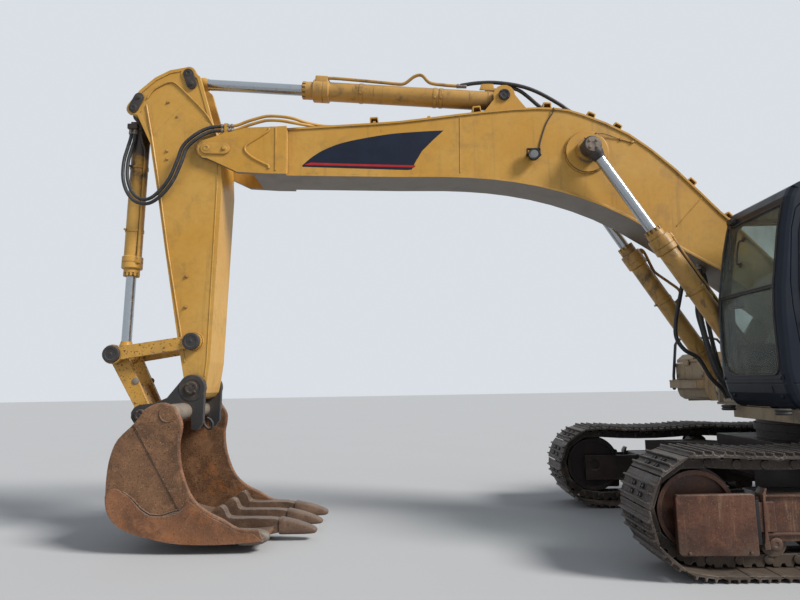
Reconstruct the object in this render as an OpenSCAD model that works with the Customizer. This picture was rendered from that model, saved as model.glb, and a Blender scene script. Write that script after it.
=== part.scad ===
// Crawler excavator with a mass-excavation boom, a quick coupler and a wide bucket.
// X runs forward, Y to the operator's left and Z up from the ground, in millimetres.
// Side-view points are [x, z], measured from the swing centre at ground level.

/* [Undercarriage] */
// Distance between the centre lines of the two tracks
track_gauge = 2590; // [2390:10:2790]
// Width of a track shoe
shoe_w = 600; // [500:10:700]
// Distance between the idler axle and the sprocket axle
wheelbase = 3870; // [3800:10:3940]
// Number of shoes in one track
shoe_count = 46; // [44:1:48]
// Radius of the chain's pin line round the wheels
chain_r = 360; // [350:1:370]
// Height of the grouser bars on a shoe
grouser_h = 38; // [30:1:44]
// Thickness of a shoe's plate
shoe_t = 14; // [10:1:18]
// Radius of the idler's rim
idler_r = 298; // [285:1:300]
// Number of track rollers on one side
roller_count = 8; // [7:1:9]
// Width of a track frame
frame_w = 330; // [300:5:360]

/* [Upper structure] */
// Height of the deck's underside above the ground
deck_z = 1100; // [1090:5:1110]
// Thickness of the deck plate
deck_t = 42; // [35:1:50]
// Overall width of the upper structure
house_w = 2960; // [2900:10:3000]
// Radius of the tail about the swing centre
tail_r = 3500; // [3440:10:3560]
// Height of the counterweight's top
tail_z = 2330; // [2300:10:2380]
// Height of the side housings' tops
housing_z = 2180; // [2140:10:2220]
// Thickness of sheet-metal covers
cover_t = 12; // [8:1:16]
// Radius of the swing bearing's outer ring
bearing_r = 590; // [580:5:600]

/* [Cab] */
// Y of the cab's outer wall
cab_out_y = 1450; // [1440:5:1460]
// Y of the cab's inner wall
cab_in_y = 485; // [485:1:500]
// Thickness of the cab's walls and pillars
cab_wall = 50; // [40:1:60]
// Thickness of the window glass
glass_t = 6; // [4:1:8]

/* [Arm] */
// Width of the boom box
boom_w = 460; // [450:2:466]
// Width of the stick box
stick_w = 450; // [440:2:450]
// Thickness of the ears outside the stick, at its pins
ear_t = 54; // [48:1:58]
// Running gap beside a moving ear
side_gap = 6; // [5:0.5:8]
// Radial clearance of a pin in its bore
pin_gap = 0.05; // [0.02:0.01:0.09]
// Radius of the arm's pins
pin_r = 50; // [44:1:55]

/* [Cylinders] */
// Radius of a boom cylinder's barrel
boom_barrel_r = 88; // [80:1:92]
// Radius of a boom cylinder's rod
boom_rod_r = 52; // [46:1:56]
// Length of a boom cylinder's barrel, from its pin to the gland's end
boom_barrel_l = 1836; // [1800:2:1870]
// Radius of the stick cylinder's barrel
stick_barrel_r = 100; // [90:1:104]
// Radius of the stick cylinder's rod
stick_rod_r = 58; // [50:1:62]
// Length of the stick cylinder's barrel
stick_barrel_l = 2160; // [2120:2:2190]
// Radius of the bucket cylinder's barrel
bucket_barrel_r = 88; // [80:1:92]
// Radius of the bucket cylinder's rod
bucket_rod_r = 50; // [44:1:54]
// Length of the bucket cylinder's barrel
bucket_barrel_l = 1755; // [1720:2:1790]

/* [Bucket] */
// Overall width of the bucket
bucket_w = 1380; // [1360:10:1420]
// Thickness of the bucket's plates
bucket_t = 30; // [20:1:36]
// Number of tooth positions on the lip
tooth_count = 4; // [4:1:5]

/* [Hidden] */

// Pivots of the arm in side view, with the bucket's teeth on the ground.
BOOM_FOOT = [200, 2100];
BOOM_TIP = [6120, 3881];
BOOM_CYL_FOOT = [715, 1350];
BOOM_CYL_EYE = [2226, 3770];
STICK_CYL_FOOT = [3029, 4443];
STICK_CYL_EYE = [6352, 4733];
BUCKET_CYL_FOOT = [6918, 4365];
LINK_PIN = [6998, 1792];
GUIDE_PIN = [6215, 1903];
BUCKET_PIN = [6200, 1450];
COUPLER_PIN = [6690, 1200];
TORQUE_TUBE = [6262, 1229];

// Places worked out from the driving sizes.
pin_to_shoe = 58;
wheel_z = chain_r + pin_to_shoe + shoe_t + grouser_h;
rail_t = 40;
track_y = track_gauge / 2;
half_base = wheelbase / 2;
boss_r = 95;
front_x = LINK_PIN.x + boss_r;
centre_x = (front_x - tail_r) / 2;
deck_top = deck_z + deck_t;
boom_h = boom_w / 2;
stick_h = stick_w / 2;
ear_in = stick_h + side_gap;
stick_eye_h = stick_barrel_r + 12;
ear_out = ear_in + ear_t;
cyl_y = 375;
cyl_eye_h = 58;
shell_h = house_w / 2;
eps = 0.3;

module placed() translate([-centre_x, 0, 0]) children();
module yellow() color([0.86, 0.62, 0.16]) children();
module black() color([0.11, 0.11, 0.13]) children();
module rust() color([0.36, 0.24, 0.18]) children();
module chrome() color([0.78, 0.79, 0.8]) children();

// A side-view outline made solid between two Y values.
module plate(pts, y0, y1)
    translate([0, y1, 0]) rotate([90, 0, 0]) linear_extrude(y1 - y0) polygon(pts);

// A side-view ring, disc or bore along Y.
module disc(p, r, y0, y1, fn = 48)
    translate([p.x, y1, p.y]) rotate([90, 0, 0]) cylinder(r = r, h = y1 - y0, $fn = fn);

module both_sides() {
    children();
    mirror([0, 1, 0]) children();
}

module box(x0, x1, y0, y1, z0, z1)
    translate([x0, y0, z0]) cube([x1 - x0, y1 - y0, z1 - z0]);

// Local X runs from p towards q in side view.
module aim(p, q, y = 0)
    translate([p.x, y, p.y]) rotate([0, -atan2(q.y - p.y, q.x - p.x), 0]) children();

module bar(x0, x1, r, fn = 48)
    translate([x0, 0, 0]) rotate([0, 90, 0]) cylinder(r = r, h = x1 - x0, $fn = fn);

function arc(c, r, a0, a1, n = 8) =
    [for (i = [0:n]) c + r * [cos(a0 + (a1 - a0) * i / n), sin(a0 + (a1 - a0) * i / n)]];
function unit(v) = v / norm(v);
function left_of(v) = [-v.y, v.x];

// A smooth curve through hand-set points, with n steps to a span.
function spline_at(a, b, c, d, t) = 0.5 * (2 * b + (c - a) * t + (2 * a - 5 * b + 4 * c - d) * t * t
                                           + (3 * b - a - 3 * c + d) * t * t * t);
function spline(p, n = 4) = let (m = len(p) - 1)
    concat([for (i = [0:m - 1], k = [0:n - 1])
                spline_at(p[max(i - 1, 0)], p[i], p[i + 1], p[min(i + 2, m)], k / n)], [p[m]]);

// A closed outline moved inwards by d, for points that run anticlockwise.
function inset(p, d) = let (m = len(p))
    [for (i = [0:m - 1])
        let (u = unit(p[i] - p[(i + m - 1) % m]), v = unit(p[(i + 1) % m] - p[i]),
             n = unit(left_of(u) + left_of(v)))
        p[i] + n * d / max(0.5, n * left_of(u))];

// A round hose or pipe along [x, y, z] points, with 8 sides.
module hose(pts, r) {
    n = 8;
    m = len(pts);
    dirs = [for (i = [0:m - 1]) unit(pts[min(i + 1, m - 1)] - pts[max(i - 1, 0)])];
    rings = [for (i = [0:m - 1])
        let (d = dirs[i], a = unit(cross(d, [0.31, 0.9, 0.3])), b = cross(d, a))
        for (k = [0:n - 1]) pts[i] + r * (a * cos(360 * k / n) + b * sin(360 * k / n))];
    sides = [for (i = [0:m - 2], k = [0:n - 1])
        [i * n + k, (i + 1) * n + k, (i + 1) * n + (k + 1) % n, i * n + (k + 1) % n]];
    polyhedron(points = rings, faces = concat([[for (k = [0:n - 1]) k]],
               sides, [[for (k = [n - 1:-1:0]) (m - 1) * n + k]]));
}

// The chain's path: bottom run, idler arc, sagging top run and sprocket arc.
arc_l = PI * chain_r;
loop_l = 2 * wheelbase + 2 * arc_l;
carrier_x = 680;
top_sag = 34;
function sag_at(x) =
    abs(x) > carrier_x
        ? let (t = (abs(x) - carrier_x) / (half_base - carrier_x)) top_sag * 4 * t * (1 - t)
        : let (t = (x + carrier_x) / (2 * carrier_x)) top_sag * 4 * t * (1 - t);
function chain_at(s) =
    s < wheelbase ? [s - half_base, wheel_z - chain_r]
    : s < wheelbase + arc_l
        ? let (a = (s - wheelbase) / chain_r * 180 / PI - 90)
          [half_base + chain_r * cos(a), wheel_z + chain_r * sin(a)]
    : s < 2 * wheelbase + arc_l
        ? let (x = half_base - (s - wheelbase - arc_l)) [x, wheel_z + chain_r - sag_at(x)]
    : let (a = (s - 2 * wheelbase - arc_l) / chain_r * 180 / PI + 90)
      [chain_r * cos(a) - half_base, wheel_z + chain_r * sin(a)];
chain = [for (i = [0:shoe_count - 1]) chain_at(loop_l * (i + 0.5) / shoe_count)];
pitch = loop_l / shoe_count;

// One shoe's outline under the pin line, from its front edge to its rear one: three grousers on a plate.
shoe_h = pitch / 2 - 3;
shoe_base = pin_to_shoe;
shoe_top = shoe_base + shoe_t;
shoe_tip = shoe_top + grouser_h;
shoe_line = [[-shoe_h, shoe_base], [-shoe_h, shoe_tip], [14 - shoe_h, shoe_tip], [20 - shoe_h, shoe_top],
             [-10, shoe_top], [-6, shoe_tip], [6, shoe_tip], [10, shoe_top],
             [shoe_h - 20, shoe_top], [shoe_h - 14, shoe_tip], [shoe_h, shoe_tip], [shoe_h, shoe_base]];
// Points of a link's own outline set along the link from a to b.
function along(a, b, line) = let (u = unit(b - a)) [for (p = line) (a + b) / 2 + u * p.x - left_of(u) * p.y];
function loop(line) = [for (i = [0:shoe_count - 1]) each along(chain[i], chain[(i + 1) % shoe_count], line)];

// The chain's points where it bends.
bends = [for (i = [0:shoe_count - 1])
    let (a = chain[(i + shoe_count - 1) % shoe_count], b = chain[i], c = chain[(i + 1) % shoe_count])
    if (abs(left_of(b - a) * (c - b)) > 1) b];
module rail(y0, y1) difference() {
    plate(inset(bends, 4 - shoe_base), y0, y1);
    plate(inset(bends, rail_t), y0 - 1, y1 + 1);
}

module track(side) translate([0, side * track_y, 0]) {
    difference() {
        plate(loop(shoe_line), -shoe_w / 2, shoe_w / 2);
        plate(inset(bends, 8 - shoe_base), -shoe_w / 2 - 1, shoe_w / 2 + 1);
    }
    rail(60, 110);
    rail(-110, -60);
}

module track_left() placed() rust() track(1);
module track_right() placed() rust() track(-1);

roller_r = 84;
roller_z = wheel_z - chain_r + rail_t + roller_r + eps;
roller_span = wheelbase - 1070;
carrier_z = wheel_z + chain_r - rail_t - 70 - 12;
module roller(p, r) {
    disc(p, r, -118, 118);
    for (s = [-1, 1]) translate([0, s * 122, 0]) disc(p, r + 14, -8, 8);
    disc(p, 38, -frame_w / 2 + 10, frame_w / 2 - 10);
}
module track_rollers() placed() rust() both_sides() translate([0, track_y, 0]) {
    for (i = [0:roller_count - 1])
        roller([roller_x(i), roller_z], roller_r);
    for (s = [-1, 1]) roller([s * carrier_x, carrier_z], 70);
}

module idler() {
    difference() {
        union() {
            disc([half_base, wheel_z], idler_r, -112, 112, 96);
            disc([half_base, wheel_z], idler_r + 26, -46, 46, 96);
        }
        for (s = [-1, 1]) translate([0, s * 122, 0])
            difference() {
                disc([half_base, wheel_z], idler_r - 34, -40, 40, 96);
                disc([half_base, wheel_z], 96, -41, 41);
            }
    }
    disc([half_base, wheel_z], 60, -frame_w / 2 + 20, frame_w / 2 - 20);
}
module idlers() placed() rust() both_sides() translate([0, track_y, 0]) idler();

tooth_n = 21;
module sprocket() {
    c = [-half_base, wheel_z];
    teeth = [for (i = [0:tooth_n - 1], k = [0:3])
        let (a = 360 / tooth_n * (i + [0, 0.28, 0.5, 0.78][k]), r = [262, 262, 322, 322][k])
        c + r * [cos(a), sin(a)]];
    difference() {
        plate(teeth, -36, 36);
        disc(c, 205, -37, 37, 96);
    }
    disc(c, 215, -120, 20, 96);
    disc(c, 180, -frame_w / 2 + 10, frame_w / 2 + 60, 96);
}
module final_drives() placed() rust() both_sides() translate([0, track_y, 0]) sprocket();

frame_top = wheel_z + 115;
frame_bottom = roller_z + 20;
// Ends of the frame's box, the idler's cheeks and the guard over them, measured from the axles.
box_front = half_base - 457;
box_rear = 515 - half_base;
guard_h = 46;
module track_frame() {
    h = frame_w / 2;
    difference() {
        plate([[box_rear, frame_bottom], [box_front - 38, frame_bottom], [box_front, 330], [box_front, 520],
               [box_front - 48, frame_top], [box_rear + 120, frame_top], [box_rear, 540]], -h, h);
        box(box_rear - 180, box_front + 122, -h + 26, h - 26, frame_bottom - 1, 345);
    }
    for (s = [-1, 1]) translate([0, s * (h - 12), 0]) difference() {
        plate([[half_base - 535, 300], [half_base + 105, 300], [half_base + 105, 575],
               [half_base - 535, 575]], -13, 13);
        disc([half_base, wheel_z], 60 + eps, -14, 14);
    }
    guard = [[-385, 205], [-345, 168], [165, 168], [197, 205], [197, 560], [155, 602], [-345, 602],
             [-385, 560]];
    plate([for (p = guard) [half_base + p.x, p.y]], h, h + guard_h);
    plate([[half_base - 535, 330], [half_base - 383, 330], [half_base - 383, 540], [half_base - 535, 540]],
          h - 20, h + 30);
    for (x = [-carrier_x, carrier_x]) box(x - 60, x + 60, -h, -h + 26, frame_top - 60, carrier_z + 50);
    // Motor bracket at the sprocket.
    difference() {
        plate([[box_rear + 20, 300], [box_rear + 20, 560], [-half_base + 175, 690], [-half_base - 165, 600],
               [-half_base - 205, 340], [-half_base + 135, 250]], -h, -h + 30);
        disc([-half_base, wheel_z], 181, -h - 1, -h + 31, 96);
    }
}
function roller_x(i) = (i / (roller_count - 1) - 0.5) * roller_span;
module track_frames() placed() rust() both_sides() translate([0, track_y, 0]) difference() {
    h = frame_w / 2;
    track_frame();
    for (i = [0:roller_count - 1]) disc([roller_x(i), roller_z], 38 + eps, -h - 60, h + 60);
    for (x = [-carrier_x, carrier_x]) disc([x, carrier_z], 38 + eps, -h, -h + 70);
}

ring_in_r = 430;
carbody_z = 455;
carbody_top = 860;
ring_z = 930;
module carbody() placed() rust() {
    inner_y = track_y - frame_w / 2;
    translate([0, 0, carbody_z + 60]) linear_extrude(carbody_top - carbody_z - 60) difference() {
        square([1480, 1240], center = true);
        circle(r = 330, $fn = 64);
    }
    translate([0, 0, carbody_z]) linear_extrude(60) square([1300, 1240], center = true);
    translate([0, 0, carbody_top - 1])
        cylinder(r = bearing_r - 20, h = ring_z - eps - carbody_top + 1, $fn = 96);
    translate([0, 0, ring_z - 1]) difference() {
        cylinder(r = ring_in_r, h = deck_z - 12 - ring_z, $fn = 96);
        translate([0, 0, 1]) cylinder(r = ring_in_r - 90, h = 300, $fn = 96);
    }
    both_sides() for (s = [-1, 1]) translate([0, 0, carbody_z + 60]) linear_extrude(230)
        polygon([[s * 260, 560], [s * 740, 560], [s * 1330, inner_y], [s * 720, inner_y]]);
}

module swing_bearing() placed() color([0.3, 0.28, 0.26]) translate([0, 0, ring_z]) difference() {
    union() {
        cylinder(r = bearing_r, h = 70, $fn = 128);
        cylinder(r = bearing_r - 25, h = deck_z - ring_z, $fn = 128);
    }
    translate([0, 0, -1]) cylinder(r = ring_in_r + eps, h = 300, $fn = 128);
}

// Upper structure
foot_in = boom_h + side_gap;
foot_out = foot_in + 40;
outer_ear = cyl_y + cyl_eye_h + side_gap;
ear_plate = 36;
rail_z = deck_top + 60;
beam_z = 1420;
cab_z = 1215;
// Front edges of the deck under the cab, and of the main plates' flange.
deck_x1 = 1100;
nose_z = 1186;
flange_t = 20;
rail_y0 = shell_h - 90;
rail_y1 = shell_h - 30;
module upper_frame() placed() yellow() {
    difference() {
        union() {
            translate([0, 0, deck_z]) linear_extrude(deck_t) polygon([[deck_x1, rail_y1], [-560, rail_y1],
                [-560, 900], [-2300, 900], [-2300, -900], [-700, -900], [-700, -rail_y0], [180, -rail_y0],
                [210, -1000], [450, -560], [740, 0], [deck_x1, 470]]);
            both_sides() {
                // Main plate with the boom's foot, on the flange that carries the lift cylinders.
                plate(concat([[860, nose_z + flange_t - 1], [860, beam_z]], arc(BOOM_FOOT, 175, 30, 165, 6),
                             [[-420, 1700], [-1250, beam_z], [-2900, beam_z], [-2900, rail_z],
                              [-2300, deck_top - 1], [600, deck_top - 1], [660, nose_z + flange_t - 1]]),
                      foot_in, foot_out);
                plate(concat([[600, nose_z + flange_t - 1], [760, nose_z + flange_t - 1]],
                             arc(BOOM_CYL_FOOT, 90, 0, 180, 8)), outer_ear, outer_ear + ear_plate);
                for (x = [-2300, -1240, -520])
                    box(x, x + 70, foot_out - 1, rail_y0 + 1, deck_top - 1, rail_z);
            }
            translate([0, 0, nose_z]) linear_extrude(flange_t) polygon([[870, -285], [870, 285], [750, 480],
                [560, 480], [560, -480], [750, -480]]);
            // Outer rails, and the beams under the cab and beside the toolbox.
            box(-2320, deck_x1, rail_y0, rail_y1, deck_top - 20, rail_z);
            box(-2320, 180, -rail_y1, -rail_y0, deck_top - 20, rail_z);
            box(deck_x1 - 70, deck_x1, 470, rail_y0 + 1, deck_top - 1, rail_z);
            box(110, 180, -rail_y0 - 1, -foot_out + 1, deck_top - 1, rail_z);
            for (x = [-485, deck_x1 - 40], y = [560, 1370]) translate([x, y, rail_z - 1])
                cylinder(r = 30, h = cab_z - eps - rail_z + 1, $fn = 32);
            box(-1240, -1200, -foot_in - 1, foot_in + 1, deck_top - 1, 1400);
            box(-600, -560, -foot_in - 1, foot_in + 1, deck_top - 1, 1500);
        }
        disc(BOOM_FOOT, pin_r + 10, -600, 600);
        for (s = [-1, 1]) disc(BOOM_CYL_FOOT, pin_r + pin_gap, s * cyl_y - 150, s * cyl_y + 150);
    }
    disc(BOOM_FOOT, pin_r + 10 - pin_gap, -foot_out - 12, foot_out + 12);
    for (s = [-1, 1]) disc(BOOM_CYL_FOOT, pin_r, s * cyl_y - 104, s * cyl_y + 104);
}

function tail_x(y, r = tail_r) = -sqrt(r * r - y * y);
module counterweight() placed() yellow() {
    edge = shell_h - 20;
    plan = concat([[-2340, edge], [tail_x(edge), edge]],
                  [for (i = [1:15]) let (y = edge * (1 - i / 8)) [tail_x(y), y]],
                  [[tail_x(edge), -edge], [-2340, -edge]]);
    low = 1190;
    difference() {
        translate([0, 0, low]) linear_extrude(tail_z - low) polygon(plan);
        // Sockets for the frame's rear ends, and the well behind the engine.
        for (y = [-1, 1] * (foot_in + 20)) box(-2930, -2300, y - 50, y + 50, low - 1, beam_z + eps);
        box(-2700, -2300, -520, 520, 1500, tail_z + 1);
    }
}

// Eye plates that lift the counterweight off.
lug_x = -2900;
lug_y = 700;
lug_t = 60;
lug_r = 80;
lug_hole_r = 30;
module lifting_lugs() placed() yellow() for (s = [-1, 1]) translate([0, s * lug_y, 0]) {
    eye = [lug_x, tail_z + lug_r];
    difference() {
        union() {
            disc(eye, lug_r, -lug_t / 2, lug_t / 2);
            box(lug_x - lug_r, lug_x + lug_r, -lug_t / 2, lug_t / 2, tail_z, eye.y);
        }
        disc(eye, lug_hole_r, -lug_t, lug_t);
    }
}

module engine_block() placed() color([0.25, 0.25, 0.27]) {
    box(-2250, -1650, -420, 420, 1460, 2060);
    box(-2150, -1750, -330, 330, 2059, 2180);
    box(-2180, -1720, -220, 220, 1300, 1461);
    for (x = [-2180, -1800], y = [-400, 320]) box(x, x + 80, y, y + 80, deck_top + eps, 1461);
}

// Hinge with a vertical pin. Local X points across the moving leaf, and Y out of the surface.
hinge_off = 15;
hinge_pin_r = 7;
module hinge_moving() difference() {
    union() {
        cylinder(r = 13, h = 31, center = true, $fn = 32);
        box(0, 60, -hinge_off + eps, -hinge_off + 7, -15.5, 15.5);
        box(hinge_off + 1, 60, -hinge_off - 1, -hinge_off + 7, -15.5, 15.5);
    }
    cylinder(r = hinge_pin_r + pin_gap, h = 40, center = true, $fn = 32);
}
module hinge_fixed() {
    for (s = [-1, 1]) translate([0, 0, s * 31]) {
        cylinder(r = 13, h = 30, center = true, $fn = 32);
        box(-60, 0, -hinge_off - 1, -hinge_off + 7, -15, 15);
    }
    cylinder(r = hinge_pin_r, h = 60, center = true, $fn = 32);
}
// Hollow cover with an open bottom.
module housing(x0, x1, y0, y1, z0, z1) difference() {
    box(x0, x1, y0, y1, z0, z1);
    box(x0 + cover_t, x1 - cover_t, y0 + cover_t, y1 - cover_t, z0 - 1, z1 - cover_t);
}
door_gap = 6;
rad_x0 = -2300;
rad_x1 = -600;
rad_y0 = 640;
rad_y1 = shell_h - 10;
low_z = rail_z + eps;
door_x0 = -1480;
door_x1 = -720;
door_z0 = low_z + 60;
door_z1 = housing_z - 70;
module at_radiator_hinges() for (z = [1500, 1950])
    translate([door_x0 + door_gap - hinge_off, rad_y1 + hinge_off, z]) children();
module radiator_housing() placed() yellow() {
    difference() {
        housing(rad_x0, rad_x1, rad_y0, rad_y1, low_z, housing_z);
        box(door_x0, door_x1, rad_y1 - 40, rad_y1 + 1, door_z0, door_z1);
        for (i = [0:9]) box(rad_x0 + 120, door_x0 - 120, rad_y1 - 40, rad_y1 + 1,
                            1500 + i * 52, 1520 + i * 52);
    }
    at_radiator_hinges() hinge_fixed();
    // Cooler core behind the louvres.
    color([0.2, 0.2, 0.2]) box(door_x0 - 110, door_x0 - 30, rad_y0 + 60, rad_y1 - 60,
                               low_z, housing_z - cover_t + 1);
}
module radiator_door() placed() yellow() {
    difference() {
        box(door_x0 + door_gap, door_x1 - door_gap, rad_y1 - cover_t, rad_y1,
            door_z0 + door_gap, door_z1 - door_gap);
        for (i = [0:7]) box(door_x0 + 120, door_x1 - 120, rad_y1 - 40, rad_y1 + 1,
                            1520 + i * 60, 1542 + i * 60);
    }
    box(door_x1 - 90, door_x1 - 60, rad_y1 - 1, rad_y1 + 14, 1700, 1800);
    at_radiator_hinges() hinge_moving();
}

pump_y = -(shell_h - 10);
pump_x0 = -2200;
pump_x1 = -1340;
module at_pump_hinges() for (z = [1500, 1950])
    translate([pump_x0 + door_gap - hinge_off, pump_y - hinge_off, z]) mirror([0, 1, 0]) children();
module pump_housing() placed() yellow() {
    difference() {
        housing(-2300, -1260, pump_y, -640, low_z, housing_z);
        box(pump_x0, pump_x1, pump_y - 1, pump_y + 40, door_z0, door_z1);
    }
    at_pump_hinges() hinge_fixed();
}
module pump_door() placed() yellow() {
    box(pump_x0 + door_gap, pump_x1 - door_gap, pump_y, pump_y + cover_t,
        door_z0 + door_gap, door_z1 - door_gap);
    box(pump_x1 - 100, pump_x1 - 70, pump_y - 14, pump_y + 1, 1700, 1800);
    at_pump_hinges() hinge_moving();
}

hood_x0 = -2320;
hood_x1 = -1270;
hood_y = 620;
cowl_z = 2240;
module rear_cowl() placed() yellow() {
    for (y = [-400, 400]) knuckle_ends(hood_hinge, y) box(-10, 10, -hinge_off - 1, 0, -15, 15);
    difference() {
        union() {
            box(hood_x0, hood_x1, -630, 630, cowl_z - 60, cowl_z);
            box(hood_x1 - cover_t, hood_x1, -630, 630, deck_top + eps, cowl_z);
        }
        box(hood_x0 + 60, hood_x1 - 90, -hood_y + 50, hood_y - 50, cowl_z - 100, cowl_z + 1);
        for (y = [-1, 1] * (foot_in + 20)) box(hood_x1 - 20, hood_x1 + 1, y - 21, y + 21, 1100, beam_z + 40);
    }
}
hood_h = 150;
hood_hinge = [hood_x1 - 45, cowl_z + hinge_off];
// Knuckles of a hinge along Y at a side-view point.
module knuckle(p, y) translate([p.x, y, p.y]) rotate([90, 0, 0]) difference() {
    union() {
        cylinder(r = 13, h = 31, center = true, $fn = 32);
        children();
    }
    cylinder(r = hinge_pin_r + pin_gap, h = 40, center = true, $fn = 32);
}
module knuckle_ends(p, y) translate([p.x, y, p.y]) rotate([90, 0, 0]) {
    for (s = [-1, 1]) translate([0, 0, s * 31]) {
        cylinder(r = 13, h = 30, center = true, $fn = 32);
        children();
    }
    cylinder(r = hinge_pin_r, h = 60, center = true, $fn = 32);
}
module engine_hood() placed() yellow() {
    for (y = [-400, 400]) knuckle(hood_hinge, y) box(-20, 0, -9, 9, -15.5, 15.5);
    difference() {
        plate([[hood_x0 + 20, cowl_z + 6], [hood_x1 - 60, cowl_z + 6], [hood_x1 - 60, cowl_z + 60],
               [hood_x1 - 160, cowl_z + hood_h], [hood_x0 + 90, cowl_z + hood_h],
               [hood_x0 + 20, cowl_z + 90]], -hood_y, hood_y);
        plate([[hood_x0 + 34, cowl_z + 5], [hood_x1 - 74, cowl_z + 5], [hood_x1 - 74, cowl_z + 54],
               [hood_x1 - 166, cowl_z + hood_h - cover_t], [hood_x0 + 94, cowl_z + hood_h - cover_t],
               [hood_x0 + 34, cowl_z + 84]], -hood_y + cover_t, hood_y - cover_t);
        for (i = [0:8]) box(-2150 + i * 60, -2128 + i * 60, -380, 380, cowl_z + 100, cowl_z + 200);
    }
}
module exhaust_stack() placed() black() translate([-1800, -900, 0]) {
    translate([0, 0, housing_z + eps]) cylinder(r = 110, h = 40, $fn = 48);
    difference() {
        translate([0, 0, housing_z + 20]) cylinder(r = 62, h = 420, $fn = 48);
        translate([0, 0, housing_z + 300]) cylinder(r = 56, h = 200, $fn = 48);
    }
}

tank_gap = 15;
fuel_x0 = -700;
fuel_x1 = 100;
fuel_z = 1800;
module fuel_tank() placed() yellow() {
    box(fuel_x0, fuel_x1, pump_y, -560, low_z, fuel_z);
    translate([fuel_x1 - 200, -1200, fuel_z - 1]) cylinder(r = 70, h = 50, $fn = 48);
}
module hydraulic_tank() placed() yellow() {
    box(-1240, fuel_x0 - tank_gap, pump_y, -560, low_z, housing_z - 20);
    translate([-980, -1000, housing_z - 21]) cylinder(r = 90, h = 40, $fn = 48);
}

// Toolbox on the right, with a step in front of it and a lid over it.
tool_x0 = 150;
tool_x1 = 765;
tool_y0 = -(shell_h - 40);
tool_w = 700;
tool_y1 = tool_y0 + tool_w;
tool_z = 1640;
tool_wall = 14;
rail_strip = 60;
step_z = 1425;
step_x1 = tool_x1 + 90;
lid_y0 = tool_y0 + rail_strip;
lid_x1 = tool_x1 + 6;
lid_hinge = [235, tool_z + hinge_off];
lid_hinge_y = [tool_y0 + 160, tool_y1 - 160];
module toolbox() placed() yellow() {
    for (y = lid_hinge_y) knuckle_ends(lid_hinge, y) box(-10, 6, -hinge_off - 1, 0, -15, 15);
    difference() {
        plate([[tool_x0, low_z], [tool_x1 - 80, low_z], [tool_x1 - 25, 1240], [tool_x1, 1310],
               [tool_x1, tool_z], [tool_x0, tool_z]], tool_y0, tool_y1);
        plate([[265, 1225], [tool_x1 - 90, 1225], [tool_x1 - 40, 1250], [tool_x1 - tool_wall, 1320],
               [tool_x1 - tool_wall, tool_z + 1], [265, tool_z + 1]],
              lid_y0 + tool_wall, tool_y1 - tool_wall);
    }
    difference() {
        box(tool_x1 - 1, step_x1, tool_y0, tool_y1, step_z - 85, step_z);
        box(tool_x1 + 10, step_x1 - 10, tool_y0 + 10, tool_y1 - 10, step_z - 86, step_z - 10);
    }
}
lid_top = tool_z + 108;
module toolbox_lid() placed() yellow() {
    x0 = lid_hinge.x + 15;
    difference() {
        plate([[x0, tool_z + 5], [lid_x1, tool_z + 5], [lid_x1, tool_z + 40], [lid_x1 - 75, lid_top - 4],
               [lid_x1 - 200, lid_top], [x0, lid_top]], lid_y0, tool_y1);
        plate([[x0 + 12, tool_z + 4], [lid_x1 - 12, tool_z + 4], [lid_x1 - 12, tool_z + 36],
               [lid_x1 - 80, lid_top - 16], [lid_x1 - 200, lid_top - 12], [x0 + 12, lid_top - 12]],
              lid_y0 + 12, tool_y1 - 12);
    }
    for (y = lid_hinge_y) knuckle(lid_hinge, y) box(0, 20, -9, 3, -15.5, 15.5);
    box(lid_x1 - 1, lid_x1 + 12, lid_y0 + 200, lid_y0 + 330, tool_z - 30, tool_z + 30);
}

module rail_pipe(pts) hose(pts, 17);
module handrails() placed() black() {
    y = tool_y0 + 25;
    x = tool_x1 + 45;
    rail_pipe([[x, y, step_z + eps], [x, y, step_z + 60], [x - 50, y, 1870], [x - 85, y, 1930],
               [x - 150, y, 1950], [330, y, 1950], [240, y, 1930], [190, y, 1870], [190, y, tool_z + eps]]);
    rail_pipe([[60, y, fuel_z + eps], [60, y, 2560], [20, y, 2660], [-80, y, 2700], [-900, y, 2700],
               [-980, y, 2660], [-1020, y, 2560], [-1020, y, housing_z - 20 + eps]]);
    rail_pipe([[-2240, y, housing_z + eps], [-2240, y, 2560], [-2200, y, 2660], [-2100, y, 2700],
               [-1440, y, 2700], [-1340, y, 2660], [-1300, y, 2560], [-1300, y, housing_z + eps]]);
}

// Cab: front line, bottom to top
cab_front = [[1095, cab_z], [1135, 1260], [1165, 1330], [1180, 1400], [1192, 1470], [1200, 1550],
             [1200, 1950], [1180, 2190], [1105, 2620], [1060, 2800], [1030, 2905], [990, 2975], [930, 3010]];
cab_x0 = -560;
cab_side = concat([[cab_x0, cab_z]], cab_front,
                  [[780, 3040], [-460, 3040], [-540, 3000], [cab_x0, 2940]]);
cab_floor = 1445;
seam_z = 1408;
cab_mid = (cab_in_y + cab_out_y) / 2;
glass_in = 10;
frame_bar = 9;
pane_joint_z = 2180;
cab_door_x0 = 200;
cab_door_side = [[cab_door_x0, 1330], [940, 1330], [1010, 1400], [1060, 1700], [1085, 2000], [1085, 2190],
                 [1035, 2620], [985, 2790], [900, 2870], [cab_door_x0, 2870]];
door_win = [[cab_door_x0 + 90, 1950], [1008, 1950], [1008, 2180], [965, 2600], [925, 2750], [860, 2795],
            [cab_door_x0 + 90, 2795]];
door_panel = [[cab_door_x0 + 110, 1400], [920, 1400], [975, 1560], [1000, 1860], [cab_door_x0 + 110, 1860]];
rear_side_win = [[-450, 1900], [110, 1900], [110, 2880], [-450, 2880]];
right_win = [[-440, 1760], [1075, 1760], [1085, 1950], [1065, 2190], [990, 2620], [940, 2830], [860, 2900],
             [-440, 2900]];
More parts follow.
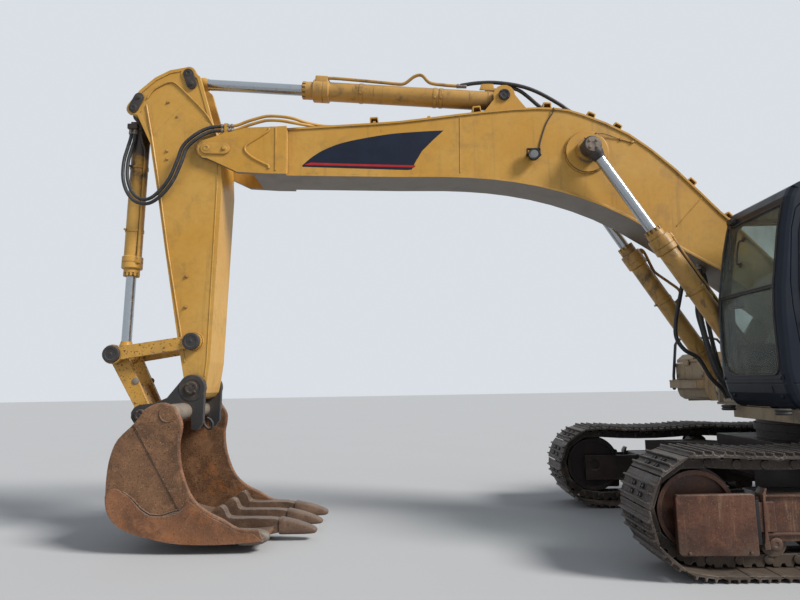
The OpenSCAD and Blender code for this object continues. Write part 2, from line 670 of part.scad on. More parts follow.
// Windshield openings as [y, z]: the upper pane, and the lower one with its round corners.
pane_y0 = cab_in_y + 88;
pane_y1 = cab_out_y - 62;
upper_pane = [[pane_y0, pane_joint_z + frame_bar], [pane_y1, pane_joint_z + frame_bar], [pane_y1, 2845],
              [pane_y0, 2845]];
lower_pane = concat(arc([pane_y0 + 170, 1645], 170, 180, 270, 5), arc([pane_y1 - 90, 1565], 90, 270, 360, 4),
                    [[pane_y1, pane_joint_z - frame_bar], [pane_y0, pane_joint_z - frame_bar]]);
// The cab's block at a depth d under its skin.
module cab_form(d) plate(inset(cab_side, d), cab_in_y + d, cab_out_y - d);
// A prism along X with a [y, z] outline.
module along_x(pts, x0, x1) translate([x0, 0, 0]) rotate([90, 0, 90]) linear_extrude(x1 - x0) polygon(pts);
// The window openings, each smaller by d on every side.
module windows(d) {
    for (pane = [upper_pane, lower_pane]) along_x(inset(pane, d), 950, 1350);
    plate(inset(right_win, d), cab_in_y - 1, cab_in_y + cab_wall + 1);
    plate(inset(rear_side_win, d), cab_out_y - cab_wall - 1, cab_out_y + 1);
    box(cab_x0 - 1, cab_x0 + cab_wall + 1, cab_in_y + 110 + d, cab_out_y - 110 - d, 1950 + d, 2880 - d);
    box(-150 + d, 600 - d, cab_in_y + 180 + d, cab_out_y - 180 - d, 2960, 3060);
}
// Rounds the upright corner over one stretch of the front line; neighbours differ a little in radius.
corner_r = 60;
corner_over = 12;
module corner_cut(p, q, r) aim(p, q) rotate([90, 0, 90]) translate([0, 0, -corner_over])
    linear_extrude(norm(q - p) + 2 * corner_over) polygon([[0.02 * r, 1.075 * r], [-0.134 * r, 0.5 * r],
        [-0.5 * r, 0.134 * r], [-1.075 * r, -0.02 * r], [-r, -r], [r, -r], [r, 1.075 * r]]);
module cab_shell() placed() black() {
    for (z = [1560, 2600]) translate([cab_door_x0 + door_gap - hinge_off, cab_out_y + hinge_off, z])
        hinge_fixed();
    difference() {
        cab_form(0);
        intersection() {
            cab_form(cab_wall);
            box(-1000, 2000, 0, 2000, cab_floor, 4000);
        }
        windows(0);
        plate(cab_door_side, cab_out_y - cab_wall - 1, cab_out_y + 1);
        // Hollow foot, and the joint round the cab above it.
        box(cab_x0 + 60, 1000, cab_in_y + 40, cab_out_y - 40, cab_z - 1, cab_floor - 45);
        difference() {
            box(-1000, 2000, 0, 2000, seam_z - 4, seam_z + 4);
            cab_form(8);
        }
        for (i = [0:len(cab_front) - 3]) {
            translate([0, cab_out_y, 0]) corner_cut(cab_front[i], cab_front[i + 1], corner_r + i % 2);
            translate([0, cab_in_y, 0]) mirror([0, 1, 0])
                corner_cut(cab_front[i], cab_front[i + 1], corner_r + i % 2);
        }
    }
}
module cab_glass() placed() color([0.3, 0.38, 0.36, 0.5]) intersection() {
    difference() {
        cab_form(glass_in);
        cab_form(glass_in + glass_t);
    }
    windows(eps);
}
seat_x = -10;
module cab_interior() placed() black() {
    floor_z = cab_floor + eps;
    box(seat_x, seat_x + 450, cab_mid - 262, cab_mid + 262, floor_z, floor_z + 330);
    box(seat_x - 30, seat_x + 490, cab_mid - 250, cab_mid + 250, floor_z + 329, floor_z + 470);
    plate([[seat_x - 30, floor_z + 460], [seat_x + 110, floor_z + 460], [seat_x, floor_z + 1180],
           [seat_x - 110, floor_z + 1180]], cab_mid - 240, cab_mid + 240);
    for (s = [-1, 1]) {
        plate([[seat_x - 30, floor_z + 200], [seat_x + 550, floor_z + 200], [seat_x + 610, floor_z + 560],
               [seat_x + 550, floor_z + 640], [seat_x - 30, floor_z + 600]],
              cab_mid + s * 320 - 60, cab_mid + s * 320 + 60);
        translate([seat_x + 540, cab_mid + s * 320, floor_z + 600]) cylinder(r = 16, h = 190, $fn = 24);
        box(740, 920, cab_mid + s * 110 - 45, cab_mid + s * 110 + 45, floor_z, floor_z + 60);
        translate([800, cab_mid + s * 110, floor_z + 50]) cylinder(r = 12, h = 330, $fn = 24);
    }
}
module cab_door() placed() black() {
    y1 = cab_out_y;
    difference() {
        plate(inset(cab_door_side, door_gap), y1 - 40, y1);
        plate(door_win, y1 - 41, y1 + 1);
        plate(door_panel, y1 - 41, y1 - 12);
    }
    for (z = [1560, 2600]) translate([cab_door_x0 + door_gap - hinge_off, y1 + hinge_off, z]) hinge_moving();
    box(900, 1010, y1 - 1, y1 + 30, 1880, 1910);
}
module door_glass() placed() color([0.3, 0.38, 0.36, 0.5])
    plate(inset(door_win, eps), cab_out_y - glass_in - glass_t, cab_out_y - glass_in);

// Boom
boom_top = [[831, 3040], [916, 3113], [1338, 3579], [1776, 3957], [2233, 4181], [2512, 4255], [2939, 4261],
            [3534, 4213], [4130, 4153], [4666, 4129], [5400, 4100]];
boom_low = [[5489, 3598], [4141, 3548], [3672, 3537], [3206, 3501], [2743, 3418], [2286, 3275], [1838, 3062],
            [1312, 2713], [985, 2517]];
foot_r = 165;
boom_side = concat(arc(BOOM_FOOT, foot_r - 4, 315, 134, 8), spline(boom_top, 2), [[5720, 4095], [5952, 4035]],
                   arc(BOOM_TIP, 105, 50, -95, 5), [[5803, 3623]], spline(boom_low, 2));
// Pipes along the boom: three on its back, and one to the bucket cylinder's hose.
pipe_r = 16;
pipe_up = 48;
back_line = offset_of(spline(boom_top, 2), -pipe_up);
pipe_y = 266;
tip_line = [[3330, 205, 4262], [3534, 205, 4247], [4130, 205, 4188], [4666, 205, 4163], [4950, 205, 4172],
            [5080, 225, 4178], [5230, pipe_y, 4172], [5400, pipe_y, 4175], [5560, pipe_y, 4178],
            [5750, pipe_y, 4160], [5860, pipe_y, 4126], [5900, pipe_y, 4122]];
low_line = [[3330, 163, 4262], [3534, 163, 4247], [4130, 163, 4188], [4666, 163, 4163], [4900, 163, 4150],
            [5080, 215, 4135], [5230, pipe_y, 4128], [5400, pipe_y, 4124], [5560, pipe_y, 4122],
            [5750, pipe_y, 4112], [5860, pipe_y, 4080], [5900, pipe_y, 4076]];
fitting_x = 5900;
fitting_end = 5945;
// Saddle under the middle of a pipe's straight stretch from p to q.
module saddle(p, q, y0, y1)
    aim(p, q) box(norm(q - p) / 2 - 15, norm(q - p) / 2 + 15, y0, y1, -pipe_up - 12, -pipe_r - eps);
function side_view(p) = [p.x, p.z];
module boom() placed() yellow() {
    for (i = [2, 4, 7]) saddle(back_line[i], back_line[i + 1], -85, 85);
    for (i = [1, 2]) saddle(side_view(tip_line[i]), side_view(tip_line[i + 1]), 145, 225);
    box(fitting_x - 20, fitting_end + 5, pipe_y - 20, ear_out, 4000, 4050);
    web = boom_h - 12;
    skin = inset(reverse_of(boom_side), 22);
    difference() {
        union() {
            plate(boom_side, -web, web);
            difference() {
                plate(boom_side, -boom_h, boom_h);
                plate(skin, -boom_h - 1, boom_h + 1);
            }
            disc(BOOM_FOOT, foot_r, -boom_h, boom_h, 64);
            // Nose casting with the ears outside the stick.
            intersection() {
                plate(boom_side, -ear_out, ear_out);
                box(5300, 6400, -ear_out, ear_out, 3400, 4300);
            }
            both_sides() disc(BOOM_CYL_EYE, 118, boom_h - 20, cyl_y - cyl_eye_h - side_gap, 64);
            for (s = [-1, 1])
                plate(arc(BOOM_CYL_EYE, 215, 0, 345, 23), s * (boom_h + 8) - 9, s * (boom_h + 8) + 9);
            // Stick cylinder ears, two plates that stand on the top plate.
            difference() {
                both_sides() plate(concat([[2760, 4230], [3300, 4200]],
                                          arc(STICK_CYL_FOOT, 115, -20, 180, 8)),
                                   stick_eye_h + side_gap, stick_eye_h + side_gap + 40);
                plate(inset(reverse_of(boom_side), -eps), -boom_h, boom_h);
            }
        }
        // Slot for the stick's nose.
        plate([[5450, 4300], [5450, 3950], [5650, 3720], [5650, 3400], [6400, 3400], [6400, 4300]],
              -ear_in, ear_in);
        disc(BOOM_FOOT, pin_r + 10, -400, 400);
        disc(BOOM_TIP, pin_r + pin_gap, -400, 400);
        disc(STICK_CYL_FOOT, pin_r + pin_gap, -200, 200);
    }
    disc(BOOM_TIP, pin_r, -ear_out - 14, ear_out + 14);
    disc(STICK_CYL_FOOT, pin_r, -stick_eye_h - 60, stick_eye_h + 60);
}
function reverse_of(p) = [for (i = [len(p) - 1:-1:0]) p[i]];

module boom_lines() placed() yellow() {
    for (y = [-60, 0, 60]) hose([for (i = [1:8]) [back_line[i].x, y, back_line[i].y]], pipe_r);
    hose(tip_line, pipe_r);
    hose(low_line, pipe_r);
    box(fitting_x + eps, fitting_end, pipe_y - 20, pipe_y + 18, 4050 + eps, 4150);
}
module work_lamp() placed() black() {
    disc([2780, 3730], 60, boom_h + 20, boom_h + 90);
    box(2765, 2795, boom_h + eps - 12, boom_h + 40, 3720, 3800);
}

// Hydraulic cylinders: each barrel and rod lies along local X from its foot pin.
module barrel(len, r, rod_r, eye_r, eye_h, bore, collar_l = 150, flange_l = 50, flange_up = 14) difference() {
    union() {
        bar(40, 120, eye_h - 4, 64);
        bar(118, len - 40, r, 64);
        bar(len - collar_l - flange_l, len - flange_l, r + flange_up - 6, 64);
        bar(len - flange_l - 1, len, r + flange_up, 64);
        rotate([90, 0, 0]) cylinder(r = eye_r, h = 2 * eye_h, center = true, $fn = 64);
    }
    bar(135, len + 1, rod_r + 1, 64);
    rotate([90, 0, 0]) cylinder(r = bore, h = 400, center = true, $fn = 64);
}
module rod(full, len, r, eye_r, eye_h) {
    bar(full - len, full - eye_r + 30, r, 64);
    translate([full, 0, 0]) rotate([90, 0, 0]) cylinder(r = eye_r, h = 2 * eye_h, center = true, $fn = 64);
}
boom_cyl_l = norm(BOOM_CYL_EYE - BOOM_CYL_FOOT);
stick_cyl_l = norm(STICK_CYL_EYE - STICK_CYL_FOOT);
bucket_cyl_l = norm(LINK_PIN - BUCKET_CYL_FOOT);
module boom_cylinder_barrels() placed() yellow() for (s = [-1, 1]) aim(BOOM_CYL_FOOT, BOOM_CYL_EYE, s * cyl_y)
    barrel(boom_barrel_l, boom_barrel_r, boom_rod_r, 90, cyl_eye_h, pin_r + pin_gap);
module boom_cylinder_rods() placed() chrome() for (s = [-1, 1]) aim(BOOM_CYL_FOOT, BOOM_CYL_EYE, s * cyl_y) {
    rod(boom_cyl_l, 2000, boom_rod_r, 92, cyl_eye_h);
    translate([boom_cyl_l, 0, 0]) rotate([-s * 90, 0, 0]) cylinder(r = 58, h = cyl_eye_h + 55, $fn = 48);
}
module stick_cylinder_barrel() placed() yellow() aim(STICK_CYL_FOOT, STICK_CYL_EYE)
    barrel(stick_barrel_l, stick_barrel_r, stick_rod_r, 92, stick_eye_h, pin_r + pin_gap, 175, 130, 22);
module stick_cylinder_rod() placed() chrome() aim(STICK_CYL_FOOT, STICK_CYL_EYE)
    rod(stick_cyl_l, 2140, stick_rod_r, 80, 80);
module bucket_cylinder_barrel() placed() yellow() {
    box(port_x - 32, port_x + hose_step + 32, 60, 140, port_z + eps, port_z + 60);
    aim(BUCKET_CYL_FOOT, LINK_PIN)
        barrel(bucket_barrel_l, bucket_barrel_r, bucket_rod_r, 84, 70, pin_r + pin_gap);
}
module bucket_cylinder_rod() placed() chrome() aim(BUCKET_CYL_FOOT, LINK_PIN)
    rod(bucket_cyl_l, 1690, bucket_rod_r, 80, 56);

// Stick
stick_box = [[6301, 1529], [6372, 1904], [6535, 2839], [6640, 3470], [6732, 3978], [6790, 4380],
             [6800, 4480], [6590, 4580], [6470, 4530], [6068, 4125], [5990, 3880], [5973, 3487],
             [6050, 1700], [6085, 1450]];
stick_nose = concat(stick_box, arc(BUCKET_PIN, 115, 180, 395, 8));
stick_ear = concat([[6732, 3978], [6880, 4290]], arc(BUCKET_CYL_FOOT, 78, -40, 40, 4),
                   [[6861, 4565], [6707, 4700], [6551, 4778]], arc(STICK_CYL_EYE, 80, 65, 180, 5),
                   [[6231, 4700], [6068, 4125], [6440, 4300]]);
pocket_t = 7;
stick_pins = [BOOM_TIP, GUIDE_PIN, BUCKET_PIN, BUCKET_CYL_FOOT, STICK_CYL_EYE];
module stick() placed() yellow() {
    difference() {
        union() {
            plate(stick_nose, -stick_h, stick_h);
            // Ear plates of both cylinders, set against the head.
            difference() {
                for (s = [-1, 1]) plate(stick_ear, s * (stick_h - 25) - 25, s * (stick_h - 25) + 25);
                plate(inset(stick_nose, -eps), -stick_h - 1, stick_h + 1);
                disc(BOOM_TIP, 150 + eps, -stick_h - 1, stick_h + 1, 64);
            }
            disc(GUIDE_PIN, 88, -stick_h, stick_h, 64);
            disc(BOOM_TIP, 150, -stick_h, stick_h, 64);
        }
        for (pin = stick_pins) disc(pin, pin_r + pin_gap, -300, 300);
        disc(BUCKET_CYL_FOOT, 110, -76, 76);
        disc(STICK_CYL_EYE, 130, -90, 90);
        // Sunk face of the head inside its raised border, with the pins' bosses left proud.
        both_sides() difference() {
            plate(inset(stick_ear, 34), stick_h - pocket_t, stick_h + 1);
            for (pin = [BUCKET_CYL_FOOT, STICK_CYL_EYE, BOOM_TIP])
                disc(pin, pin == BOOM_TIP ? 150 : 84, stick_h - 2 * pocket_t, stick_h + 2, 64);
        }
    }
    disc(GUIDE_PIN, pin_r, -ear_out - 16, ear_out + 16);
    disc(BUCKET_PIN, pin_r, -ear_out - 16, ear_out + 16);
    disc(BUCKET_CYL_FOOT, pin_r, -stick_h - 16, stick_h + 16);
    for (s = [-1, 1]) disc(STICK_CYL_EYE, pin_r, s * 158 - 72, s * 158 + 72);
}

module guide_links() placed() yellow() {
    d = unit(LINK_PIN - GUIDE_PIN);
    n = left_of(d);
    both_sides() difference() {
        union() {
            disc(GUIDE_PIN, 88, ear_in, ear_out, 64);
            disc(LINK_PIN, boss_r, ear_in, ear_out, 64);
            plate([GUIDE_PIN - n * 60, LINK_PIN - n * 66, LINK_PIN + n * 66, GUIDE_PIN + n * 60],
                  ear_in, ear_out);
        }
        disc(GUIDE_PIN, pin_r + pin_gap, ear_in - 1, ear_out + 1);
    }
    both_sides() disc(LINK_PIN, pin_r, 64, ear_out + 14);
}
link_in = 68;
link_eye_r = 70;
module power_link() placed() yellow() {
    d = unit(COUPLER_PIN - LINK_PIN);
    n = left_of(d);
    difference() {
        union() {
            both_sides() {
                disc(LINK_PIN, 86, link_in, stick_h, 64);
                plate([LINK_PIN - n * 84, COUPLER_PIN - n * 60, COUPLER_PIN + n * 60, LINK_PIN + n * 84],
                      135, 180);
            }
            disc(COUPLER_PIN, link_eye_r, -stick_h, stick_h, 64);
            plate([LINK_PIN + d * 360 - n * 30, LINK_PIN + d * 580 - n * 30, LINK_PIN + d * 580 + n * 30,
                   LINK_PIN + d * 360 + n * 30], -136, 136);
        }
        disc(LINK_PIN, pin_r + pin_gap, -300, 300);
    }
}

coupler_boss_r = 130;
coupler_side = concat(arc(BUCKET_PIN, coupler_boss_r, 200, 50, 8), [[6440, 1360], [6560, 1312]],
                      arc(COUPLER_PIN, 98, 80, -80, 5), [[6600, 1150], [6345, 1290], [6200, 1160],
                      [6195, 1050], [6130, 1050], [6085, 1110]]);
top_plate = [[6262, 1300], [6280, 1235], [6520, 1090], [6560, 1100], [6530, 1150], [6300, 1295]];
module quick_coupler() placed() black() {
    difference() {
        union() {
            both_sides() plate(coupler_side, ear_in, ear_out);
            plate([[6345, 1330], [6345, 1300], [6500, 1210], [6510, 1240]], -ear_in - 1, ear_in + 1);
            for (s = [-1, 1]) disc(COUPLER_PIN, pin_r + 4, s * ear_out - 20, s * ear_out + 20);
        }
        disc(BUCKET_PIN, pin_r + pin_gap, -400, 400);
        disc(TORQUE_TUBE, 72 + eps, -400, 400);
        plate(inset(top_plate, -eps), -400, 400);
    }
}

// Bucket: the back from top to lip, and the mouth's edge from the lip to the ear's top
bucket_back = [[6568, 1142], [6712, 1005], [6772, 865], [6799, 684], [6797, 449], [6752, 332], [6657, 244],
               [6521, 184], [6215, 110], [5912, 90], [5640, 96], [5390, 112]];
bucket_mouth = [[5430, 196], [5609, 212], [5753, 291], [5905, 369], [6023, 473], [6099, 619], [6148, 784],
                [6164, 960], [6148, 1066], [6151, 1164], [6219, 1264], [6293, 1308], [6394, 1294],
                [6493, 1239]];
back_curve = spline(bucket_back, 3);
mouth_curve = spline(bucket_mouth, 2);
function offset_of(c, d) = [for (i = [0:len(c) - 1])
    let (a = c[max(i - 1, 0)], b = c[min(i + 1, len(c) - 1)]) c[i] - left_of(unit(b - a)) * d];
// Sunk panel of each side, between the back, the cutting edge's plate and the heel's wear plate.
side_panel = [[6135, 381], [6300, 336], [6400, 345], [6481, 395], [6565, 481], [6648, 542], [6745, 526],
              [6860, 500], [6900, 1000], [6700, 1140], [6566, 1123]];
panel_t = 10;
module bucket() placed() color([0.42, 0.27, 0.18]) {
    h = bucket_w / 2;
    shell_pts = concat(back_curve, reverse_of(offset_of(back_curve, bucket_t)));
    difference() {
        union() {
            both_sides() plate(concat(back_curve, mouth_curve), h - bucket_t - panel_t, h);
            plate(shell_pts, panel_t - h, h - panel_t);
        }
        both_sides() plate(side_panel, h - panel_t, h + 1);
    }
    disc(TORQUE_TUBE, 72, -h, h, 64);
    plate(top_plate, -h, h);
}
// Teeth on the lip: each adapter has a hump behind, and the one by the left side plate has lost its tip.
adapter = [[6060, 100], [6035, 230], [5970, 305], [5913, 332], [5866, 300], [5832, 226], [5450, 216],
           [5336, 204], [5330, 76], [5460, 60], [5620, 62]];
nose = [[5600, 62], [5600, 180], [5440, 192], [5375, 170], [5352, 140], [5360, 104], [5400, 82]];
tip = [[5334, 64], [5340, 214], [5180, 184], [5040, 132], [5000, 112], [4992, 90], [5004, 70], [5100, 60]];
adapter_w = 104;
tip_w = 128;
module cut_for_bucket(pts, w) difference() {
    plate(pts, -w / 2, w / 2);
    plate(concat(offset_of(lip_curve, -eps), reverse_of(offset_of(lip_curve, bucket_t + eps))), -w, w);
}
// The back's last stretch, run out past its end so that a tooth stays clear of the lip's face too.
lip_curve = let (c = back_curve, m = len(c)) concat([for (i = [m - 16:m - 2]) c[i]],
    [c[m - 1] + unit(c[m - 1] - c[m - 2]) * eps]);
module bucket_teeth() placed() rust() {
    span = bucket_w / 2 - bucket_t - panel_t - adapter_w / 2 - 4;
    for (i = [0:tooth_count - 1]) translate([0, span - 2 * span * i / (tooth_count - 1), 0]) {
        cut_for_bucket(i == 0 ? nose : adapter, adapter_w);
        if (i > 0) plate(tip, -tip_w / 2, tip_w / 2);
    }
}

// Hoses from the boom's fitting round the stick's head to the bucket cylinder's ports.
port_x = 6945;
port_z = 4180;
hose_step = 46;
hose_route = [[fitting_end + eps, pipe_y, 4122], [5990, pipe_y, 4122], [6110, 290, 4095], [6230, 325, 4010],
              [6345, 330, 3895], [6400, 330, 3740], [6475, 325, 3560], [6580, 310, 3430], [6700, 280, 3360],
              [6830, 230, 3390], [6930, 180, 3490], [6990, 150, 3640], [7000, 125, 3820], [6975, 112, 3960],
              [port_x, 108, 4090], [port_x, 108, port_z]];
// The route moved sideways by d in side view, to its right as it runs.
function beside(r, d) = [for (i = [0:len(r) - 1])
    let (v = r[min(i + 1, len(r) - 1)] - r[max(i - 1, 0)], u = unit([v.x, v.z])) r[i] + d * [u.y, 0, -u.x]];
module tip_hoses() placed() black() {
    hose(hose_route, 18);
    hose(beside(hose_route, hose_step), 18);
}

carbody();
track_frames();
track_left();
track_right();
track_rollers();
idlers();
final_drives();
upper_frame();
swing_bearing();
counterweight();
lifting_lugs();
engine_block();
rear_cowl();
cab_shell();
cab_glass();
cab_interior();
fuel_tank();
hydraulic_tank();
radiator_housing();
pump_housing();
toolbox();
handrails();
exhaust_stack();
cab_door();
door_glass();
engine_hood();
radiator_door();
pump_door();
toolbox_lid();
boom();
boom_lines();
work_lamp();
boom_cylinder_barrels();
boom_cylinder_rods();
stick_cylinder_barrel();
stick_cylinder_rod();
stick();
bucket_cylinder_barrel();
bucket_cylinder_rod();
guide_links();
power_link();
quick_coupler();
bucket();
bucket_teeth();
tip_hoses();
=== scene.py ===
"""Looks of a crawler excavator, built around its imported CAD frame. Metres, +X forward, +Y left, +Z up."""
import itertools
import math

import bmesh
import bpy
from mathutils import Matrix, Vector


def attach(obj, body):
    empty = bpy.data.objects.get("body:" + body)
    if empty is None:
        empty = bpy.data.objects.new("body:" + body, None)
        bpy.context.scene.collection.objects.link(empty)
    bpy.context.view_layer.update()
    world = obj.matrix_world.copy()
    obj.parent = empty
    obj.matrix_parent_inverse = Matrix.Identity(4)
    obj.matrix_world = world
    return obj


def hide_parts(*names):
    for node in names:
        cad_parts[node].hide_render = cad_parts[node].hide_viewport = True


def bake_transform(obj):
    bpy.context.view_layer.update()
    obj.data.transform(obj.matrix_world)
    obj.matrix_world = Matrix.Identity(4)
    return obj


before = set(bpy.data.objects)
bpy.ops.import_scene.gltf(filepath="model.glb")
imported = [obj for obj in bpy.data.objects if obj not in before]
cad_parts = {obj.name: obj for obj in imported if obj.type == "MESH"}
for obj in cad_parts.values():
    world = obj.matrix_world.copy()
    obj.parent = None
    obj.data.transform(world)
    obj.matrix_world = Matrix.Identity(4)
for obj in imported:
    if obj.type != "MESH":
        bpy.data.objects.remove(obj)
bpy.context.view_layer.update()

AHEAD, LEFT, RIGHT, UP = (1, 0, 0), (0, 1, 0), (0, -1, 0), (0, 0, 1)
SWING_CENTRE_X = -1.7965

# The camera, as solved from the photograph's perspective.
CAMERA_AT = Vector((2.2835, 6.150, 1.472))
CAMERA_HEADING = 0.807
CAMERA_PITCH = 7.766
CAMERA_ROLL = -1.021
LENS_MM = 27.045
SENSOR_MM = 36.0

# Key light: where it stands as seen from the machine, and how strong and soft it is.
KEY_FROM = Vector((-0.69, 0.365, 0.62))
KEY_STRENGTH = 3.7
KEY_ANGLE = 0.3
SKY_STRENGTH = 0.36
BACKDROP = (0.70, 0.74, 0.79, 1.0)
FLOOR = (0.52, 0.53, 0.55, 1.0)

# Paint and metal colours, linear.
YELLOW = (0.565, 0.285, 0.036)
YELLOW_FADED = (0.61, 0.345, 0.075)
YELLOW_DIRT_AND_SHADE = (0.17, 0.105, 0.055)
DUST = (0.33, 0.27, 0.205)
GREY_DUST = (0.20, 0.175, 0.15)
RUST = (0.16, 0.055, 0.022)
ORANGE_RUST = (0.42, 0.15, 0.035)
DARK_RUST = (0.055, 0.026, 0.016)
NAVY_BLACK = (0.005, 0.009, 0.018)
BARE_STEEL = (0.36, 0.33, 0.30)
# Grey painted on faces that look down, as their shade.
UNDERSIDE_SHADE_GREY = (0.125, 0.115, 0.105)
SOOT = (0.030, 0.023, 0.020)
# Near-black painted on the undercarriage near the machine's middle, as its shade.
INNER_SHADE_BLACK = (0.012, 0.011, 0.012)
PALE_RUST = (0.40, 0.27, 0.17)


def at(x, y, z):
    """Shared-frame point, in metres, of a machine point in millimetres from the swing centre."""
    return Vector((x / 1000 + SWING_CENTRE_X, y / 1000, z / 1000))


def add_camera():
    data = bpy.data.cameras.new("camera")
    data.lens = LENS_MM
    data.sensor_width = SENSOR_MM
    camera = bpy.data.objects.new("camera", data)
    turn = Matrix.Rotation(math.radians(180 + CAMERA_HEADING), 4, "Z")
    lift = Matrix.Rotation(math.radians(90 + CAMERA_PITCH), 4, "X")
    roll = Matrix.Rotation(math.radians(CAMERA_ROLL), 4, "Z")
    camera.matrix_world = Matrix.Translation(CAMERA_AT) @ turn @ lift @ roll
    bpy.context.scene.collection.objects.link(camera)
    bpy.context.scene.camera = camera


class Shader:
    """Adds and links the nodes of one material, in object coordinates that are the shared frame at rest."""

    def __init__(self, name):
        self.material = bpy.data.materials.new(name)
        self.material.use_nodes = True
        self.tree = self.material.node_tree
        self.tree.nodes.clear()
        self.out = self.tree.nodes.new("ShaderNodeOutputMaterial")
        self.surface = self.tree.nodes.new("ShaderNodeBsdfPrincipled")
        self.link(self.surface.outputs[0], self.out.inputs["Surface"])
        place = self.tree.nodes.new("ShaderNodeTexCoord")
        self.place = place.outputs["Object"]
        self.facing = place.outputs["Normal"]

    def link(self, a, b):
        self.tree.links.new(a, b)

    def node(self, kind, inputs=None, **settings):
        node = self.tree.nodes.new(kind)
        for key, value in settings.items():
            setattr(node, key, value)
        for key, value in (inputs or {}).items():
            self.put(node.inputs[key], value)
        return node

    def put(self, socket, value):
        if isinstance(value, bpy.types.NodeSocket):
            self.link(value, socket)
        elif hasattr(value, "__len__") and len(value) == 3 and socket.type == "RGBA":
            socket.default_value = (*value, 1.0)
        else:
            socket.default_value = value

    def noise(self, scale, detail=4, rough=0.55, stretch=None, warp=0.0):
        place = self.place
        if stretch:
            place = self.node("ShaderNodeVectorMath", {0: place, 1: stretch}, operation="MULTIPLY").outputs[0]
        return self.node("ShaderNodeTexNoise", {"Vector": place, "Scale": scale, "Detail": detail,
                                                "Roughness": rough, "Distortion": warp}).outputs["Fac"]

    def math(self, operation, a, b=0.0):
        return self.node("ShaderNodeMath", {0: a, 1: b}, operation=operation).outputs[0]

    def times(self, a, b):
        return self.math("MULTIPLY", a, b)

    def plus(self, a, b):
        return self.math("ADD", a, b)

    def ramp(self, value, low, high, out_low=0.0, out_high=1.0):
        return self.node("ShaderNodeMapRange", {"Value": value, "From Min": low, "From Max": high,
                                                "To Min": out_low, "To Max": out_high},
                         interpolation_type="SMOOTHSTEP").outputs[0]

    def mix(self, factor, a, b):
        node = self.tree.nodes.new("ShaderNodeMix")
        node.data_type = "RGBA"
        self.put(node.inputs[0], factor)
        self.put(node.inputs[6], a)
        self.put(node.inputs[7], b)
        return node.outputs[2]

    def axis(self, vector, name):
        return self.node("ShaderNodeSeparateXYZ", {0: vector}).outputs[name]

    def edges(self, radius=0.012, low=0.02, high=0.25):
        """1 along convex and concave edges, from how much a rounded normal turns away from the face's own."""
        rounded = self.node("ShaderNodeBevel", {"Radius": radius}, samples=4).outputs[0]
        own = self.node("ShaderNodeNewGeometry").outputs["Normal"]
        dot = self.node("ShaderNodeVectorMath", {0: rounded, 1: own}, operation="DOT_PRODUCT").outputs["Value"]
        return self.ramp(self.math("SUBTRACT", 1.0, dot), low, high)

    # Ambient occlusion mask, 1 in closed-in hollows: it paints shade into crevices and corners.
    def occlusion_shade(self, distance=0.2):
        open_share = self.node("ShaderNodeAmbientOcclusion", {"Distance": distance}, samples=4).outputs["AO"]
        return self.ramp(open_share, 0.75, 0.25)

    def bump(self, height, strength, distance, radius=0.006):
        soft = self.node("ShaderNodeBevel", {"Radius": radius}, samples=4).outputs[0]
        return self.node("ShaderNodeBump", {"Height": height, "Strength": strength, "Distance": distance,
                                            "Normal": soft}).outputs[0]

    def finish(self, colour, roughness, normal=None, **sockets):
        self.put(self.surface.inputs["Base Color"], colour)
        self.put(self.surface.inputs["Roughness"], roughness)
        if normal:
            self.link(normal, self.surface.inputs["Normal"])
        for key, value in sockets.items():
            self.put(self.surface.inputs[key.replace("_", " ")], value)
        return self.material


